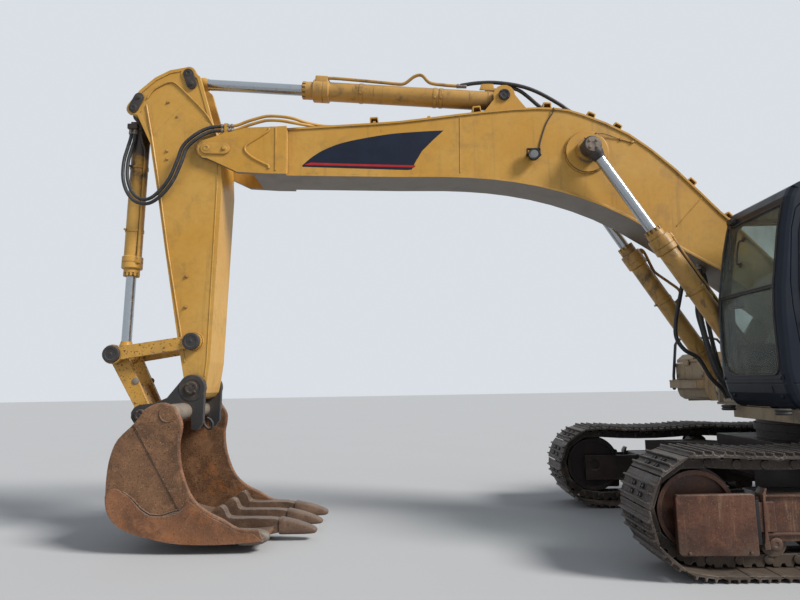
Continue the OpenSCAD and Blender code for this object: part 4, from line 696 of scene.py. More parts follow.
def add_boom_details():
    top = curve_through([(x, 0, z) for x, z in BOOM_TOP], 3)
    low = curve_through([(x, 0, z) for x, z in BOOM_LOW], 3)
    with Build("boom_welds", "boom", "yellow") as b:
        for s in SIDES:
            y = s * (WEB_Y + 1)
            b.weld(boom_face(inward(top, 26), y), 6)
            b.weld(boom_face(inward(low, 26), y), 6)
            b.weld([(1090, y, 3270), (1370, y, 2975)], 6)
            b.weld([(3509, y, 4180), (3524, y, 3580)], 5)
            b.weld(ring_of(BOOM_CYL_EYE, 221, 0, 345, 40, s * 228), 8)
            b.weld(ring_of(BOOM_CYL_EYE, 121, 0, 350, 30, s * 240), 7)
            b.weld(ring_of(BOOM_FOOT, 168, 120, 330, 24, s * 219), 8)
            b.weld([(5303, s * 231, 4086), (5303, s * 231, 3612)], 9)
            for x, z in ((2772, 4260), (3290, 4232)):
                b.weld([(x, s * 112, z), (x, s * 162, z)], 9)
            b.weld([(2790, s * 162, 4264), (3030, s * 162, 4256), (3280, s * 162, 4234)], 9)
    with Build("boom_nose_ribs", "boom", "yellow", smooth=50) as b:
        for s in SIDES:
            b.tube(curve_through([(x, s * (NOSE_Y + 1), z) for x, z in (
                (5481, 4080), (5487, 4052), (5590, 3982), (5688, 3921), (5722, 3885), (5715, 3835), (5632, 3762),
                (5510, 3696), (5480, 3678), (5478, 3650))], 4), 13, 10)
            b.block(5400, 5416, s * (NOSE_Y - 4), s * (NOSE_Y + 8), 3625, 4090, 5)
    with Build("boom_back_clamps", "boom", "yellow") as b:
        for x, z, slope in ((2155, 4166, 24), (1890, 4040, 31), (1180, 3430, 47), (835, 3062, 48), (2600, 4284, 3),
                            (3330, 4262, -5), (4400, 4168, -3)):
            t = math.radians(slope)
            f = line_frame((x, z), (x + math.cos(t), z + math.sin(t)))
            b.slab(flat([f(-44, -20), f(-44, 30), f(-36, 42), f(36, 42), f(44, 30), f(44, -20), f(32, -20), f(32, 26),
                         f(-32, 26), f(-32, -20)]), 96, 214, 3)
            b.slab(flat([f(-24, -20), f(24, -20), f(24, 34), f(15, 40), f(-15, 40), f(-24, 34)]), -90, 90, 3)
            for y in (-30, 30):
                px, _, pz = f(0, 38)
                b.bolt((px, y, pz), (-math.sin(t), 0, math.cos(t)), 11, 9)
    with Build("boom_grease_lines", "boom", "greasy") as b:
        for s in SIDES:
            b.tube(curve_through([(2130, s * 250, 3962), (2038, s * 240, 3958), (1868, s * 225, 3900),
                                  (1760, s * 225, 3866), (1720, s * 225, 3876)], 5), 6, 8)
            for x, z in ((1868, 3900), (1756, 3866)):
                b.block(x - 14, x + 14, s * 217, s * 234, z - 12, z + 12, 3)
    with Build("boom_pipes", "boom", "yellow", "boom_lines") as b:
        for y0, z in ((128, 0), (92, -HOSE_STEP)):
            b.tube(curve_through([(3330, y0, 4262), (3534, y0, 4242), (4130, y0, 4182), (4666, y0, 4158),
                                  (4900, y0, 4156), (5080, 190, 4166 + z * 0.5), (5230, 262, 4190 + z),
                                  (5360, 266, 4214 + z), (5480, 266, 4222 + z), (5560, 266, 4212 + z),
                                  (5700, 266, 4172 + z), (5820, 266, 4128 + z), (5900, 266, 4122 + z)], 5), 16, 12)
        back = curve_through([(x, 0, z) for x, z in BOOM_TOP], 2)
        for y in (-60, 0, 60):
            b.tube([(x, y, z) for x, z in inward(back, -46)[2:18]], 16, 12)
        b.block(5900.3, 5945, 246, 284, 4051, 4150, 6)
    with Build("work_lamp_wire", "boom", "rubber") as b:
        b.tube(curve_through([(2522, 120, 4262), (2530, 200, 4264), (2540, 238, 4246), (2552, 236, 4200),
                              (2626, 226, 4081), (2690, 226, 3900), (2712, 228, 3810), (2740, 240, 3792),
                              (2760, 252, 3786)], 6), 6, 8)
    with Build("work_lamp_housing", "boom", "lamp", "work_lamp") as b:
        x, z = WORK_LAMP
        b.lathe((x, 320, z), RIGHT,
                [(52, -2), (56, -4), (60, 0), (60, 34), (52, 50), (34, 62), (20, 68), (2, 69)], 32)
        b.block(2752, 2808, WEB_Y + 0.5, WEB_Y + 7, 3705, 3800, 2)
        b.block(2764, 2796, WEB_Y + 3, 300, 3789, 3798, 2)
        for dx in (-69, 60):
            b.block(x + dx, x + 9 + dx, 262, 302, 3716, 3798, 2)
        b.block(2711, 2849, 262, 302, 3790, 3798, 2)
        for s in SIDES:
            b.bolt((x + 68 * s, 282, z + 2), (s, 0, 0), 9, 8)
    with Build("work_lamp_glass", "boom", "lens") as b:
        b.lathe((x, 318, z), LEFT, [(53, -4), (53, 0), (50, 3), (30, 5), (1, 6)], 32)
    band = smooth_line([(5148, 3698), (5040, 3790), (4890, 3876), (4671, 3947), (4267, 4013), (3950, 4034),
                        (3682, 4042)], 4)
    band += [(3790, 3945), (3910, 3825), (3985, 3700), (4017, 3631), (4060, 3626), (4600, 3656), (5140, 3686)]
    stripe = [(5128, 3704), (5060, 3728), (4560, 3700), (3978, 3672), (3992, 3650), (4560, 3678)]
    decals = (("boom_band", "decal", band, 1.6), ("boom_band_stripe", "decal_red", stripe, 2.6))
    for name, look, outline, lift in decals:
        with Build(name, "boom", look) as b:
            for s in SIDES:
                b.slab(outline, s * (WEB_Y - 2), s * (WEB_Y + lift), 0)


def add_stick_details():
    with Build("stick_welds", "stick", "yellow") as b:
        for s in SIDES:
            y = s * STICK_Y
            b.weld([(6098, y, 1560), (6082, y, 1700), (6022, y, 3480), (6030, y, 3740)], 7)
            b.weld([(6300, y, 1700), (6348, y, 1990), (6508, y, 2839), (6612, y, 3470), (6718, y, 4060),
                    (6786, y, 4400)], 10)
            b.weld(ring_of(GUIDE_PIN, 94, 60, 300, 24, y), 7)
            b.weld(ring_of(BUCKET_PIN, 102, 200, 380, 20, y), 7)
            b.weld(ring_of(BOOM_TIP, 154, 20, 200, 24, s * 222), 8)
            b.weld([(p.x, y, p.z) for p in curve_through(
                [(6782, y, 4470), (6726, y, 4554), (6635, y, 4614), (6559, y, 4644), (6505, y, 4640), (6448, y, 4596),
                 (6335, y, 4480), (6224, y, 4363), (6148, y, 4272), (6092, y, 4180), (6052, y, 4090)], 3)], 9)
    with Build("stick_small_parts", "stick", "greasy") as b:
        for x, z, y in ((6560, 4424, 218), (6459, 4256, 218), (6551, 3887, 224), (6548, 3800, 224)):
            b.bolt((x, y, z), LEFT, 14, 12)
        for z in (2560, 2250):
            b.block(6292, 6324, 224, 236, z - 14, z + 14, 3)
            b.bolt((6308, 235, z), LEFT, 8, 8)


def gland(b, f, end, r, depth, count, y):
    """Castellated rim of a gland nut that ends at a distance along the barrel, with a screw in each slot."""
    a, c = Vector(f(end - depth, 0, y)), Vector(f(end, 0, y))
    axis = (c - a).normalized()
    u = Vector(LEFT)
    v = axis.cross(u)
    for k in range(count):
        t0 = 2 * math.pi * k / count
        rings = []
        for i in range(4):
            t = t0 + 2 * math.pi / count * 0.6 * i / 3
            d = u * math.cos(t) + v * math.sin(t)
            rings.append([at(*(a + axis * h + d * q)) for q, h in ((r - 22, -3), (r, -3), (r, depth - 5),
                                                                   (r - 4, depth), (r - 22, depth))])
        b.rings(rings)
        t = t0 - 0.2 * 2 * math.pi / count
        b.bolt(tuple(a + axis * 3 + (u * math.cos(t) + v * math.sin(t)) * (r - 12)), tuple(axis), 8, depth * 0.5, 1.2)


def barrel(b, f, y, length, r, rod_r, eye, nut, collar):
    """Cylinder barrel: foot eye, welded base, tube, collar and gland nut; eye, nut and collar are pairs of sizes."""
    eye_r, eye_half = eye
    nut_l, nut_r = nut
    collar_l, collar_r = collar
    a, c = Vector(f(0, 0, y)), Vector(f(100, 0, y))
    axis = tuple(c - a)
    b.lathe((a.x, y - eye_half, a.z), LEFT, ring_profile(eye_r, 2 * eye_half, 10, 8), 40)
    neck, step = length - nut_l - collar_l, length - nut_l
    b.lathe(tuple(a), axis, [(r - 34, 44), (r - 12, 84), (r - 3, 104), (r, 122), (r, 150), (r + 4, 152), (r + 4, 162),
                             (r, 164), (r, neck - 8), (collar_r - 6, neck), (collar_r, neck + 6),
                             (collar_r, neck + 60), (collar_r - 3, neck + 62), (collar_r - 3, neck + 66),
                             (collar_r, neck + 68),
                             (collar_r, step - 7), (collar_r - 7, step), (nut_r, step), (nut_r, length - 38),
                             (nut_r - 18, length - 38), (nut_r - 18, length - 6), (rod_r + 12, length - 6),
                             (rod_r + 9, length), (rod_r + 2, length), (rod_r + 1, length - 12)], 56)
    gland(b, f, length, nut_r, 38, 12, y)


def band(b, f, t, r, width, y, lug=(0, 1)):
    """Clamp band round a barrel with a bolted lug."""
    a, c = Vector(f(t, 0, y)), Vector(f(t + 10, 0, y))
    axis = (c - a).normalized()
    b.lathe(tuple(a), tuple(axis),
            [(r - 3, 0), (r + 5, 2), (r + 6, width / 2), (r + 5, width - 2), (r - 3, width)], 40)
    side = Vector(LEFT) * lug[0] + axis.cross(Vector(LEFT)) * lug[1]
    p = a + axis * (width / 2) + side * (r + 14)
    b.lathe(tuple(p - Vector((0, 22, 0))), LEFT, ring_profile(11, 44, 9, 1), 12)


def fitting(b, p, q, r=24):
    """Hexagonal coupling between a pipe and a hose, from p towards q."""
    p, q = Vector(p), Vector(q)
    axis = (q - p).normalized()
    b.lathe(tuple(p), tuple(axis), ring_profile(r, 29, 3), 6)
    b.lathe(tuple(p + axis * 30), tuple(axis), ring_profile(r - 1, 23, 2), 6)
    b.lathe(tuple(p + axis * 50), tuple(axis), [(r - 6, 0), (r - 4, 4), (r - 4, 50), (r - 7, 56)], 16)


def shaft(b, f, y, r, start, end):
    """Ground rod with a chamfered inner end."""
    a, c = Vector(f(start, 0, y)), Vector(f(end, 0, y))
    axis = (c - a).normalized()
    b.lathe(tuple(a), tuple(axis), [(r - 6, 0), (r, 6), (r, end - start)], 48)


def rod_eye(b, f, y, full, rod_r, r, half):
    """Forged eye with its neck, chamfered bore ring and grease nipple."""
    a, c = Vector(f(full, 0, y)), Vector(f(full - 100, 0, y))
    down = (c - a).normalized()
    b.lathe((a.x, y - half, a.z), LEFT, ring_profile(r, 2 * half, 12, 8), 40)
    b.lathe(tuple(a), tuple(down), [(r - 18, r * 0.55), (min(r - 8, rod_r + 24), r), (rod_r + 16, r + 22),
                                    (rod_r + 6, r + 48), (rod_r + 5, r + 62)], 40)
    p = a - down * (r - 2)
    b.lathe(tuple(p), tuple(-down), [(9, 0), (9, 8), (5, 12), (5, 20), (2, 23)], 8)


def add_cylinder_details():
    ends = ((STICK_CYL_FOOT, STICK_CYL_EYE), (BOOM_CYL_FOOT, BOOM_CYL_EYE), (BUCKET_CYL_FOOT, LINK_PIN))
    stick, lift, drop = (line_frame(*pins) for pins in ends)
    stick_l, lift_l, drop_l = (math.dist(*pins) for pins in ends)
    with Build("boom_rod_shafts", "boom_rods", "chrome", "boom_cylinder_rods") as b:
        for s in SIDES:
            shaft(b, lift, s * LIFT_Y, LIFT_ROD_R, lift_l - 2000, lift_l - 62)
    with Build("boom_rod_eyes", "boom_rods", "black") as b:
        for s in SIDES:
            rod_eye(b, lift, s * LIFT_Y, lift_l, LIFT_ROD_R, 92, 58)
            cap(b, BOOM_CYL_EYE, s * 430, 58, 3, 0, -40)
    with Build("boom_rod_plates", "boom_rods", "grey") as b:
        for s in SIDES:
            b.lathe((BOOM_CYL_EYE[0], s * 432, BOOM_CYL_EYE[1]), (0, s, 0),
                    [(72, -2), (76, 2), (76, 10), (72, 14), (24, 14), (21, 10), (1, 10)], 40)
            b.bolt_circle((BOOM_CYL_EYE[0], s * 445, BOOM_CYL_EYE[1]), (0, s, 0), 48, 4, 11, 9, turn=0.5)
    with Build("stick_rod_shaft", "stick_rod", "chrome", "stick_cylinder_rod") as b:
        shaft(b, stick, 0, STICK_ROD_R, stick_l - 2140, stick_l - 50)
    with Build("stick_rod_eye", "stick_rod", "yellow") as b:
        rod_eye(b, stick, 0, stick_l, STICK_ROD_R, 80, 80)
    with Build("bucket_rod_shaft", "bucket_rod", "chrome", "bucket_cylinder_rod") as b:
        shaft(b, drop, 0, BUCKET_ROD_R, drop_l - 1690, drop_l - 50)
    with Build("bucket_rod_eye", "bucket_rod", "yellow") as b:
        rod_eye(b, drop, 0, drop_l, BUCKET_ROD_R, 80, 56)
    with Build("stick_barrel_tube", "stick_barrel", "greasy", "stick_cylinder_barrel") as b:
        barrel(b, stick, 0, STICK_BARREL_L, STICK_BARREL_R, STICK_ROD_R, (92, 112), (120, 94), (170, 120))
        for t in (640, 705, 1500):
            band(b, stick, t, STICK_BARREL_R, 44, 0, (0.9, -0.4))
        b.tube(curve_through([stick(1900, 104, 70), stick(1830, 116, 84), stick(1300, 112, 60),
                              stick(1160, 108, 56), stick(1060, 116, 60), stick(960, 190, 80), stick(880, 205, 84),
                              stick(790, 130, 80), stick(640, 124, 60), stick(500, 126, 50)], 6), 17, 12)
        block_on(b, stick, 1880, 2020, 60, 136, 20, 100, 14, 3)
        b.slab(flat([stick(20, 84), stick(190, 84), stick(190, 130), stick(40, 126)]), -56, 56, 10)
    with Build("stick_cylinder_couplings", "stick_barrel", "bare") as b:
        fitting(b, stick(500, 126, 50), stick(400, 126, 50))
        fitting(b, stick(60, 118, 20), stick(-20, 150, 20), 22)
    with Build("stick_hose_bracket", "stick_barrel", "yellow") as b:
        b.slab(flat([stick(95, 96), stick(255, 96), stick(235, 175), stick(110, 175)]), 44, 60, 4)
    for s in SIDES:
        side = "left" if s > 0 else "right"
        y = s * LIFT_Y
        with Build(f"boom_barrel_{side}", "boom_barrels", "greasy",
                   *(("boom_cylinder_barrels",) if s > 0 else ())) as b:
            barrel(b, lift, y, LIFT_BARREL_L, LIFT_BARREL_R, LIFT_ROD_R, (90, 58), (95, 84), (170, 106))
            for t in (420, 1100):
                band(b, lift, t, LIFT_BARREL_R, 40, y, (0, -1))
            if s > 0:
                run = [(1700, 96), (1712, 122), (1660, 130), (1600, 120), (900, 114), (420, 114), (330, 116)]
            else:
                run = [(1700, 96), (1712, 126), (1660, 142), (1480, 112), (1407, 113), (1250, 170), (1119, 211),
                       (1051, 174), (1032, 110), (1020, 84)]
            b.tube(curve_through([lift(t, n, y) for t, n in run], 6), 15, 12)
            for t0, t1, n0, n1 in ((1660, 1720, 70, 124), (130, 210, 60, 112), (990, 1050, 60, 100)):
                block_on(b, lift, t0, t1, n0, n1, y - 34, y + 34, 8)
        with Build(f"boom_cylinder_couplings_{side}", "boom_barrels", "bare") as b:
            if s > 0:
                fitting(b, lift(330, 116, y), lift(250, 116, y), 23)
            fitting(b, lift(170, 108, y), lift(170, 150, y), 23)
    with Build("bucket_barrel_tube", "bucket_barrel", "sooty", "bucket_cylinder_barrel") as b:
        barrel(b, drop, 0, BUCKET_BARREL_L, BUCKET_BARREL_R, BUCKET_ROD_R, (84, 70), (80, 80), (130, 104))
        b.block(6913, 7023, 60, 140, 4181, 4240, 12, 3)
        block_on(b, drop, 90, 190, -40, 84, 20, 96, 10)
        b.tube(curve_through([drop(1560, -70, 64), drop(1550, -82, 72), drop(1500, -88, 70), drop(700, -84, 60),
                              drop(420, -82, 70), drop(330, -60, 92), drop(240, -40, 100)], 6), 15, 12)
        for t in (560, 1250):
            band(b, drop, t, BUCKET_BARREL_R, 38, 0, (0.8, 0.6))
        block_on(b, drop, 1550, 1620, -60, -104, 20, 84, 7)
    with Build("bucket_cylinder_couplings", "bucket_barrel", "bare") as b:
        for x in (6945, 6991):
            b.lathe((x, 108, 4128), UP, ring_profile(25, 27, 3), 6)
            b.lathe((x, 108, 4156), UP, ring_profile(22, 23, 2), 6)
    with Build("boom_pipe_couplings", "boom", "bare") as b:
        for z in (4122, 4076):
            for x in (5852, 5888, 5952):
                b.lathe((x, 266, z), AHEAD, ring_profile(25, 25, 4), 6)
    runs = (((3474, 50, 4617), (3300, 50, 4640), (3100, 50, 4640), (2860, 50, 4600), (2660, 40, 4530),
             (2430, 20, 4400), (2300, 0, 4312), (2200, 0, 4250)),
            ((3010, 20, 4570), (2940, 20, 4590), (2840, 15, 4560), (2740, 10, 4480), (2640, 0, 4390),
             (2540, -30, 4330), (2440, -60, 4280), (2340, -60, 4236)))
    for i, run in enumerate(runs):
        add_hose(f"stick_cylinder_hose_{i + 1}", curve_through(run, 5), 20, 14,
                 ("stick_barrel", "boom", at(*run[1]), at(*run[5])))
    with Build("boom_back_unions", "boom", "greasy") as b:
        for run in runs:
            p, q = Vector(run[-1]), Vector(run[-2])
            d = (q - p).normalized()
            b.lathe(tuple(p - d * 60), tuple(d), [(20, 0), (28, 6), (28, 40), (22, 46), (22, 100)], 6)
        b.slab([(2120, 4190), (2250, 4236), (2240, 4290), (2110, 4244)], -40, 40, 6)


def add_coupler_details():
    with Build("coupler_fittings", "bucket", "black") as b:
        for s in SIDES:
            b.lathe((BUCKET_PIN[0], s * 284, BUCKET_PIN[1]), (0, s, 0),
                    [(128, 0), (128, 5), (124, 8), (84, 8), (80, 3), (70, 3)], 48)
            b.block(6150, 6250, s * 300, s * 312, 1400, 1500, 4)
            b.bolt_circle((BUCKET_PIN[0], s * 311, BUCKET_PIN[1]), (0, s, 0), 52, 4, 9, 8, turn=0.5)
            cap(b, COUPLER_PIN, s * 304, 52, 8, 4)
        b.lathe((TORQUE_TUBE[0], -660, TORQUE_TUBE[1]), LEFT, [(60, 0), (64, 4), (64, 12), (60, 15)], 32)
        b.tube(curve_through([(6150, 60, 1120), (6140, 60, 1080), (6105, 60, 1045), (6070, 60, 1050),
                              (6062, 60, 1090), (6085, 60, 1130), (6120, 60, 1150)], 6), 13, 10)
    with Build("bucket_welds", "bucket", "bucket") as b:
        for s in SIDES:
            y = s * 681
            b.weld([(6150, y, 392), (6300, y, 348), (6396, y, 356), (6474, y, 404), (6560, y, 492), (6646, y, 552),
                    (6740, y, 538)], 8)
            b.weld([(6566, y, 1110), (6140, y, 392)], 7)
            b.weld(ring_of(TORQUE_TUBE, 76, 200, 380, 20, s * 692), 7)
        for y in (-640, 640):
            b.weld([(6262, y * 0.35, 1302), (6262, y, 1302)], 8)


BACK_LINE = [(6797, 449), (6752, 332), (6657, 244), (6521, 184), (6215, 110), (5912, 90), (5640, 96), (5390, 112)]
MOUTH_LINE = [(5430, 196), (5609, 212), (5753, 291), (5905, 369), (6023, 473), (6099, 619), (6148, 784), (6164, 960),
              (6148, 1066), (6151, 1164), (6219, 1264), (6293, 1308), (6394, 1294), (6493, 1239)]
TOOTH_Y = (594, 198, -198, -594)


def soft_section(x, y, z0, z1, width, power=0.45, count=20):
    """Rounded box section across the machine at x."""
    ring = []
    for k in range(count):
        c, s = math.cos(2 * math.pi * k / count), math.sin(2 * math.pi * k / count)
        ring.append(at(x, y + width / 2 * math.copysign(abs(c) ** power, c),
                       (z0 + z1) / 2 + (z1 - z0) / 2 * math.copysign(abs(s) ** power, s)))
    return ring


def add_bucket():
    with Build("tooth_tips", "bucket", "tooth", "bucket_teeth", smooth=50) as b:
        for i, y in enumerate(TOOTH_Y[1:]):
            worn = (0, 6, -5)[i]
            b.rings([soft_section(x, y, z0, z1 - worn * (5340 - x) / 340, w, p) for x, z0, z1, w, p in (
                (5346, 80, 198, 110, 0.5), (5345, 66, 212, 126, 0.4), (5332, 62, 216, 130, 0.4),
                (5260, 61, 202, 128, 0.42), (5180, 61, 183, 124, 0.45), (5110, 61, 160, 118, 0.5),
                (5050, 63, 138, 110, 0.55), (5015, 67, 122, 100, 0.6), (4999, 74, 110, 84, 0.7),
                (4993, 84, 100, 58, 0.9))])
    with Build("tooth_adapters", "bucket", "tooth") as b:
        line = smooth_line([(6050, 130), (6040, 215), (5975, 298), (5918, 330), (5872, 306), (5842, 244), (5790, 222),
                            (5450, 214), (5342, 198)], 3)
        line += [(5336, 84), (5460, 61), (5620, 63), (5700, 80), (5912, 84), (6050, 96)]
        for y in TOOTH_Y[1:]:
            b.slab(line, y - 52, y + 52, 13, 3)
    with Build("worn_nose", "bucket", "bare", smooth=50) as b:
        y = TOOTH_Y[0]
        b.rings([soft_section(x, y, z0, z1, w, p) for x, z0, z1, w, p in (
            (5620, 66, 206, 100, 0.5), (5560, 62, 202, 104, 0.45), (5460, 66, 196, 104, 0.5),
            (5410, 76, 186, 98, 0.6), (5376, 92, 172, 84, 0.75), (5358, 108, 158, 58, 0.9))])
    with Build("bucket_wear_plates", "bucket", "wear") as b:
        top = smooth_line([(6793, 520), (6752, 574), (6700, 577), (6648, 546), (6565, 486), (6481, 398), (6400, 346),
                           (6290, 338), (6135, 372), (6060, 470)], 4)
        low = smooth_line([(5990, 420), (5905, 352), (5753, 274), (5609, 198), (5470, 176)], 3)
        back = smooth_line(BACK_LINE, 3)[::-1]
        for s in SIDES:
            b.slab(top + low + back, s * 676, s * 695, 5)
    with Build("bucket_rim", "bucket", "wear", smooth=60) as b:
        rim = smooth_line(MOUTH_LINE, 3)
        for s in SIDES:
            b.tube([(x + 2, s * 671, z - 2) for x, z in rim], 19, 8)
    with Build("bucket_tube_sleeves", "bucket", "grey") as b:
        x, z = TORQUE_TUBE
        for y0, y1 in ((290, 648), (-648, -290), (-240, 240)):
            b.lathe((x, y0, z), LEFT, ring_profile(76, y1 - y0, 4, 4), 40)
            for k in (0.25, 0.75):
                b.lathe((x, y0 + (y1 - y0) * k, z), LEFT, ring_profile(79, 23, 4), 40)
    with Build("power_link_plugs", "link", "grey") as b:
        for s in SIDES:
            b.lathe((6800, s * 178, 1528), (0, s, 0), [(34, 0), (34, 8), (28, 12), (1, 12)], 24)


def add_arm():
    add_bucket()
    add_tip_hoses()
    add_arm_pins()
    add_boom_details()
    add_stick_details()
    add_cylinder_details()
    add_coupler_details()


# Track chain, as in the part's source.
TRACK_Y, HALF_BASE, WHEEL_Z, CHAIN_R = 1295, 1935, 472, 360
CARRIER_X, TOP_SAG, SHOE_COUNT = 680, 34, 46
PIN_TO_SHOE, SHOE_T, SHOE_W = 58, 14, 600


def sag_at(x):
    if abs(x) > CARRIER_X:
        t = (abs(x) - CARRIER_X) / (HALF_BASE - CARRIER_X)
    else:
        t = (x + CARRIER_X) / (2 * CARRIER_X)
    return TOP_SAG * 4 * t * (1 - t)


def chain_points():
    base, arc = 2 * HALF_BASE, math.pi * CHAIN_R
    total = 2 * base + 2 * arc
    out = []
    for i in range(SHOE_COUNT):
        s = total * (i + 0.5) / SHOE_COUNT
        if s < base:
            out.append((s - HALF_BASE, WHEEL_Z - CHAIN_R))
        elif s < base + arc:
            a = (s - base) / CHAIN_R - math.pi / 2
            out.append((HALF_BASE + CHAIN_R * math.cos(a), WHEEL_Z + CHAIN_R * math.sin(a)))
        elif s < 2 * base + arc:
            x = HALF_BASE - (s - base - arc)
            out.append((x, WHEEL_Z + CHAIN_R - sag_at(x)))
        else:
            a = (s - 2 * base - arc) / CHAIN_R + math.pi / 2
            out.append((CHAIN_R * math.cos(a) - HALF_BASE, WHEEL_Z + CHAIN_R * math.sin(a)))
    return out


def add_chain(s, side, chain):
    """Bolts, bosses, shoes and links of one track, each shoe in the frame of its own pitch."""
    yc = s * TRACK_Y
    pitches = [(line_frame(p, q), math.dist(p, q) / 2) for p, q in zip(chain, chain[1:] + chain[:1])]
    with Build(f"shoe_bolts_{side}", "undercarriage", "track") as b:
        for f, mid in pitches:
            out = Vector(f(0, -1)) - Vector(f(0, 0))
            for dy, dt in itertools.product((-145, -85, 85, 145), (-52, 52)):
                b.bolt(f(mid + dt, -(PIN_TO_SHOE + SHOE_T - 1), yc + dy), tuple(out), 13, 9, 1.25)
    with Build(f"link_bosses_{side}", "undercarriage", "track", smooth=40) as b:
        for x, z in chain:
            for y in (104, -122):
                b.lathe((x, yc + y, z), LEFT, ring_profile(34, 18, 10), 16)
    h = math.dist(chain[0], chain[1]) / 2 - 3
    shoe = [(-h, 60), (-h, 80), (-78, 80), (-75, 107), (-62, 107), (-59, 80), (-9, 80), (-6, 109), (6, 109),
            (9, 80), (59, 80), (62, 107), (75, 107), (78, 80), (h - 4, 78), (h - 1, 72), (h + 34, 66),
            (h + 34, 56), (h - 6, 56), (h - 30, 60)]
    link = [(-h - 34, -26), (-h - 20, -40), (h - 4, -40), (h + 8, -30), (h + 8, 16), (80, 22), (74, 56), (20, 56),
            (14, 26), (-14, 26), (-20, 56), (-74, 56), (-80, 22), (-h - 34, 14)]
    with Build(f"track_shoes_{side}", "undercarriage", "track", f"track_{side}") as b:
        for f, mid in pitches:
            b.slab(flat([f(mid + t, -d) for t, d in shoe]), yc - SHOE_W / 2, yc + SHOE_W / 2, 3, 1)
    with Build(f"track_shoe_bolts_{side}", "undercarriage", "lamp") as b:
        for f, mid in pitches:
            out = Vector(f(mid, -1)) - Vector(f(mid, 0))
            for t, y in itertools.product((-34, 34), (-105, -64, 64, 105)):
                b.bolt(f(mid + t, -79, yc + y), tuple(out), 17, 11, 1.2)
    with Build(f"track_links_{side}", "undercarriage", "track", smooth=40) as b:
        for (f, mid), (x, z) in zip(pitches, chain):
            for y in (60, -110):
                b.slab(flat([f(mid + t, -d) for t, d in link]), yc + y, yc + y + 50, 4, 1)
            b.lathe((x, yc - 62, z), LEFT, [(29, 0), (29, 124)], 16)


def add_track_frame(s, side):
    """Flanges, idler guard and hubs on the outer face of one track frame."""
    yc, out = s * TRACK_Y, (0, s, 0)
    tail, nose = -HALF_BASE, HALF_BASE
    with Build(f"frame_flanges_{side}", "undercarriage", "frame") as b:
        y = yc + s * 165
        front = nose - 412
        for z0, z1 in ((573, 590), (300, 318)):
            b.block(tail + 640, front - 40, y - s * 10, y + s * 22, z0, z1, 6)
        b.slab([(front - 66, 205), (front - 20, 205), (front - 20, 250), (front - 34, 300), (front - 34, 600),
                (front - 60, 640), (front - 76, 640), (front - 52, 590), (front - 52, 300)],
               y - s * 60, y + s * 40, 6)
    with Build(f"idler_guard_{side}", "undercarriage", "frame", smooth=60) as b:
        x0, x1 = nose - 386, nose + 200
        b.slab([(x0, 176), (x0 + 14, 162), (x1 - 18, 170), (x1, 190), (x1, 584), (x1 - 16, 604), (x0 + 14, 606),
                (x0, 592)], yc + s * 166, yc + s * 216, 34, 5)
    with Build(f"guard_shadow_{side}", "undercarriage", "lamp") as b:
        b.block(nose - 420, nose - 386, yc + s * 150, yc + s * 199, 240, 560, 3)
    with Build(f"guard_details_{side}", "undercarriage", "frame") as b:
        b.bolts((nose - 325, nose + 121), (yc + s * 212,), (190,), out, 13, 11)
        for x in (nose - 1480, nose - 2480):
            b.block(x, x + 300, yc + s * 162, yc + s * 172, 420, 560, 5)
            b.bolts((x + 24, x + 276), (yc + s * 171,), (442, 538), out, 11, 9)
    with Build(f"roller_hubs_{side}", "undercarriage", "frame", smooth=45) as b:
        span = 2 * HALF_BASE - 1070
        for i in range(8):
            b.lathe(((i / 7 - 0.5) * span, yc + s * 164, 234), out,
                    [(50, -6), (50, 8), (44, 12), (20, 12), (16, 8), (1, 8)], 24)
        b.lathe((tail, yc + s * 224, WHEEL_Z), out,
                [(178, -2), (176, 6), (150, 14), (60, 14), (50, 8), (1, 8)], 48)
        b.bolt_circle((tail, yc + s * 232, WHEEL_Z), out, 160, 16, 12, 9)


def add_track_details():
    chain = chain_points()
    for s, side in ((1, "left"), (-1, "right")):
        add_chain(s, side, chain)
        add_track_frame(s, side)
    with Build("bearing_bolts", "undercarriage", "frame") as b:
        b.bolt_circle((0, 0, 959), UP, 560, 36, 12, 12, 1.2)


CAB_FRONT = [(1095, 1215), (1135, 1260), (1165, 1330), (1180, 1400), (1192, 1470), (1200, 1550), (1200, 1950),
             (1180, 2190), (1105, 2620), (1060, 2800), (1030, 2905), (990, 2975), (930, 3010)]
CAB_IN, CAB_OUT = 485, 1450
CAB_FLOOR_Z = 1446
SHELL_H = 1480
TAIL_R = 3500
# Centres seen from above: the exhaust and the oil tank's cap.
EXHAUST, OIL_CAP = (-1800, -900), (-980, -1000)


def tail_x(y):
    return -math.sqrt(TAIL_R ** 2 - y * y)


def front_x(z):
    for (xa, za), (xb, zb) in zip(CAB_FRONT, CAB_FRONT[1:]):
        if z <= zb:
            return xa + (xb - xa) * max(0.0, z - za) / (zb - za)
    return CAB_FRONT[-1][0]


def on_front(points, out=0):
    return [(front_x(z) + out, y, z) for y, z in points]


def seal(b, loop, r):
    """Rubber bead round a closed loop of machine points."""
    fine = []
    ends = [Vector(p) for p in loop + loop[:1]]
    for a, c in zip(ends, ends[1:]):
        steps = max(1, int((c - a).length / 80))
        fine += [a.lerp(c, k / steps) for k in range(steps)]
    fine.append(ends[-1])
    b.tube(fine, r, 8)


def front_strip(b, y0, y1, z0, z1, out=6, depth=10):
    """Strip that follows the cab's front line between two heights."""
    steps = max(1, int((z1 - z0) / 60))
    rings = []
    for i in range(steps + 1):
        z = z0 + (z1 - z0) * i / steps
        x = front_x(z)
        rings.append([at(x - depth, y0, z), at(x + out - 2, y0, z), at(x + out, y0 + 2, z), at(x + out, y1 - 2, z),
                      at(x + out - 2, y1, z), at(x - depth, y1, z)])
    b.rings(rings)


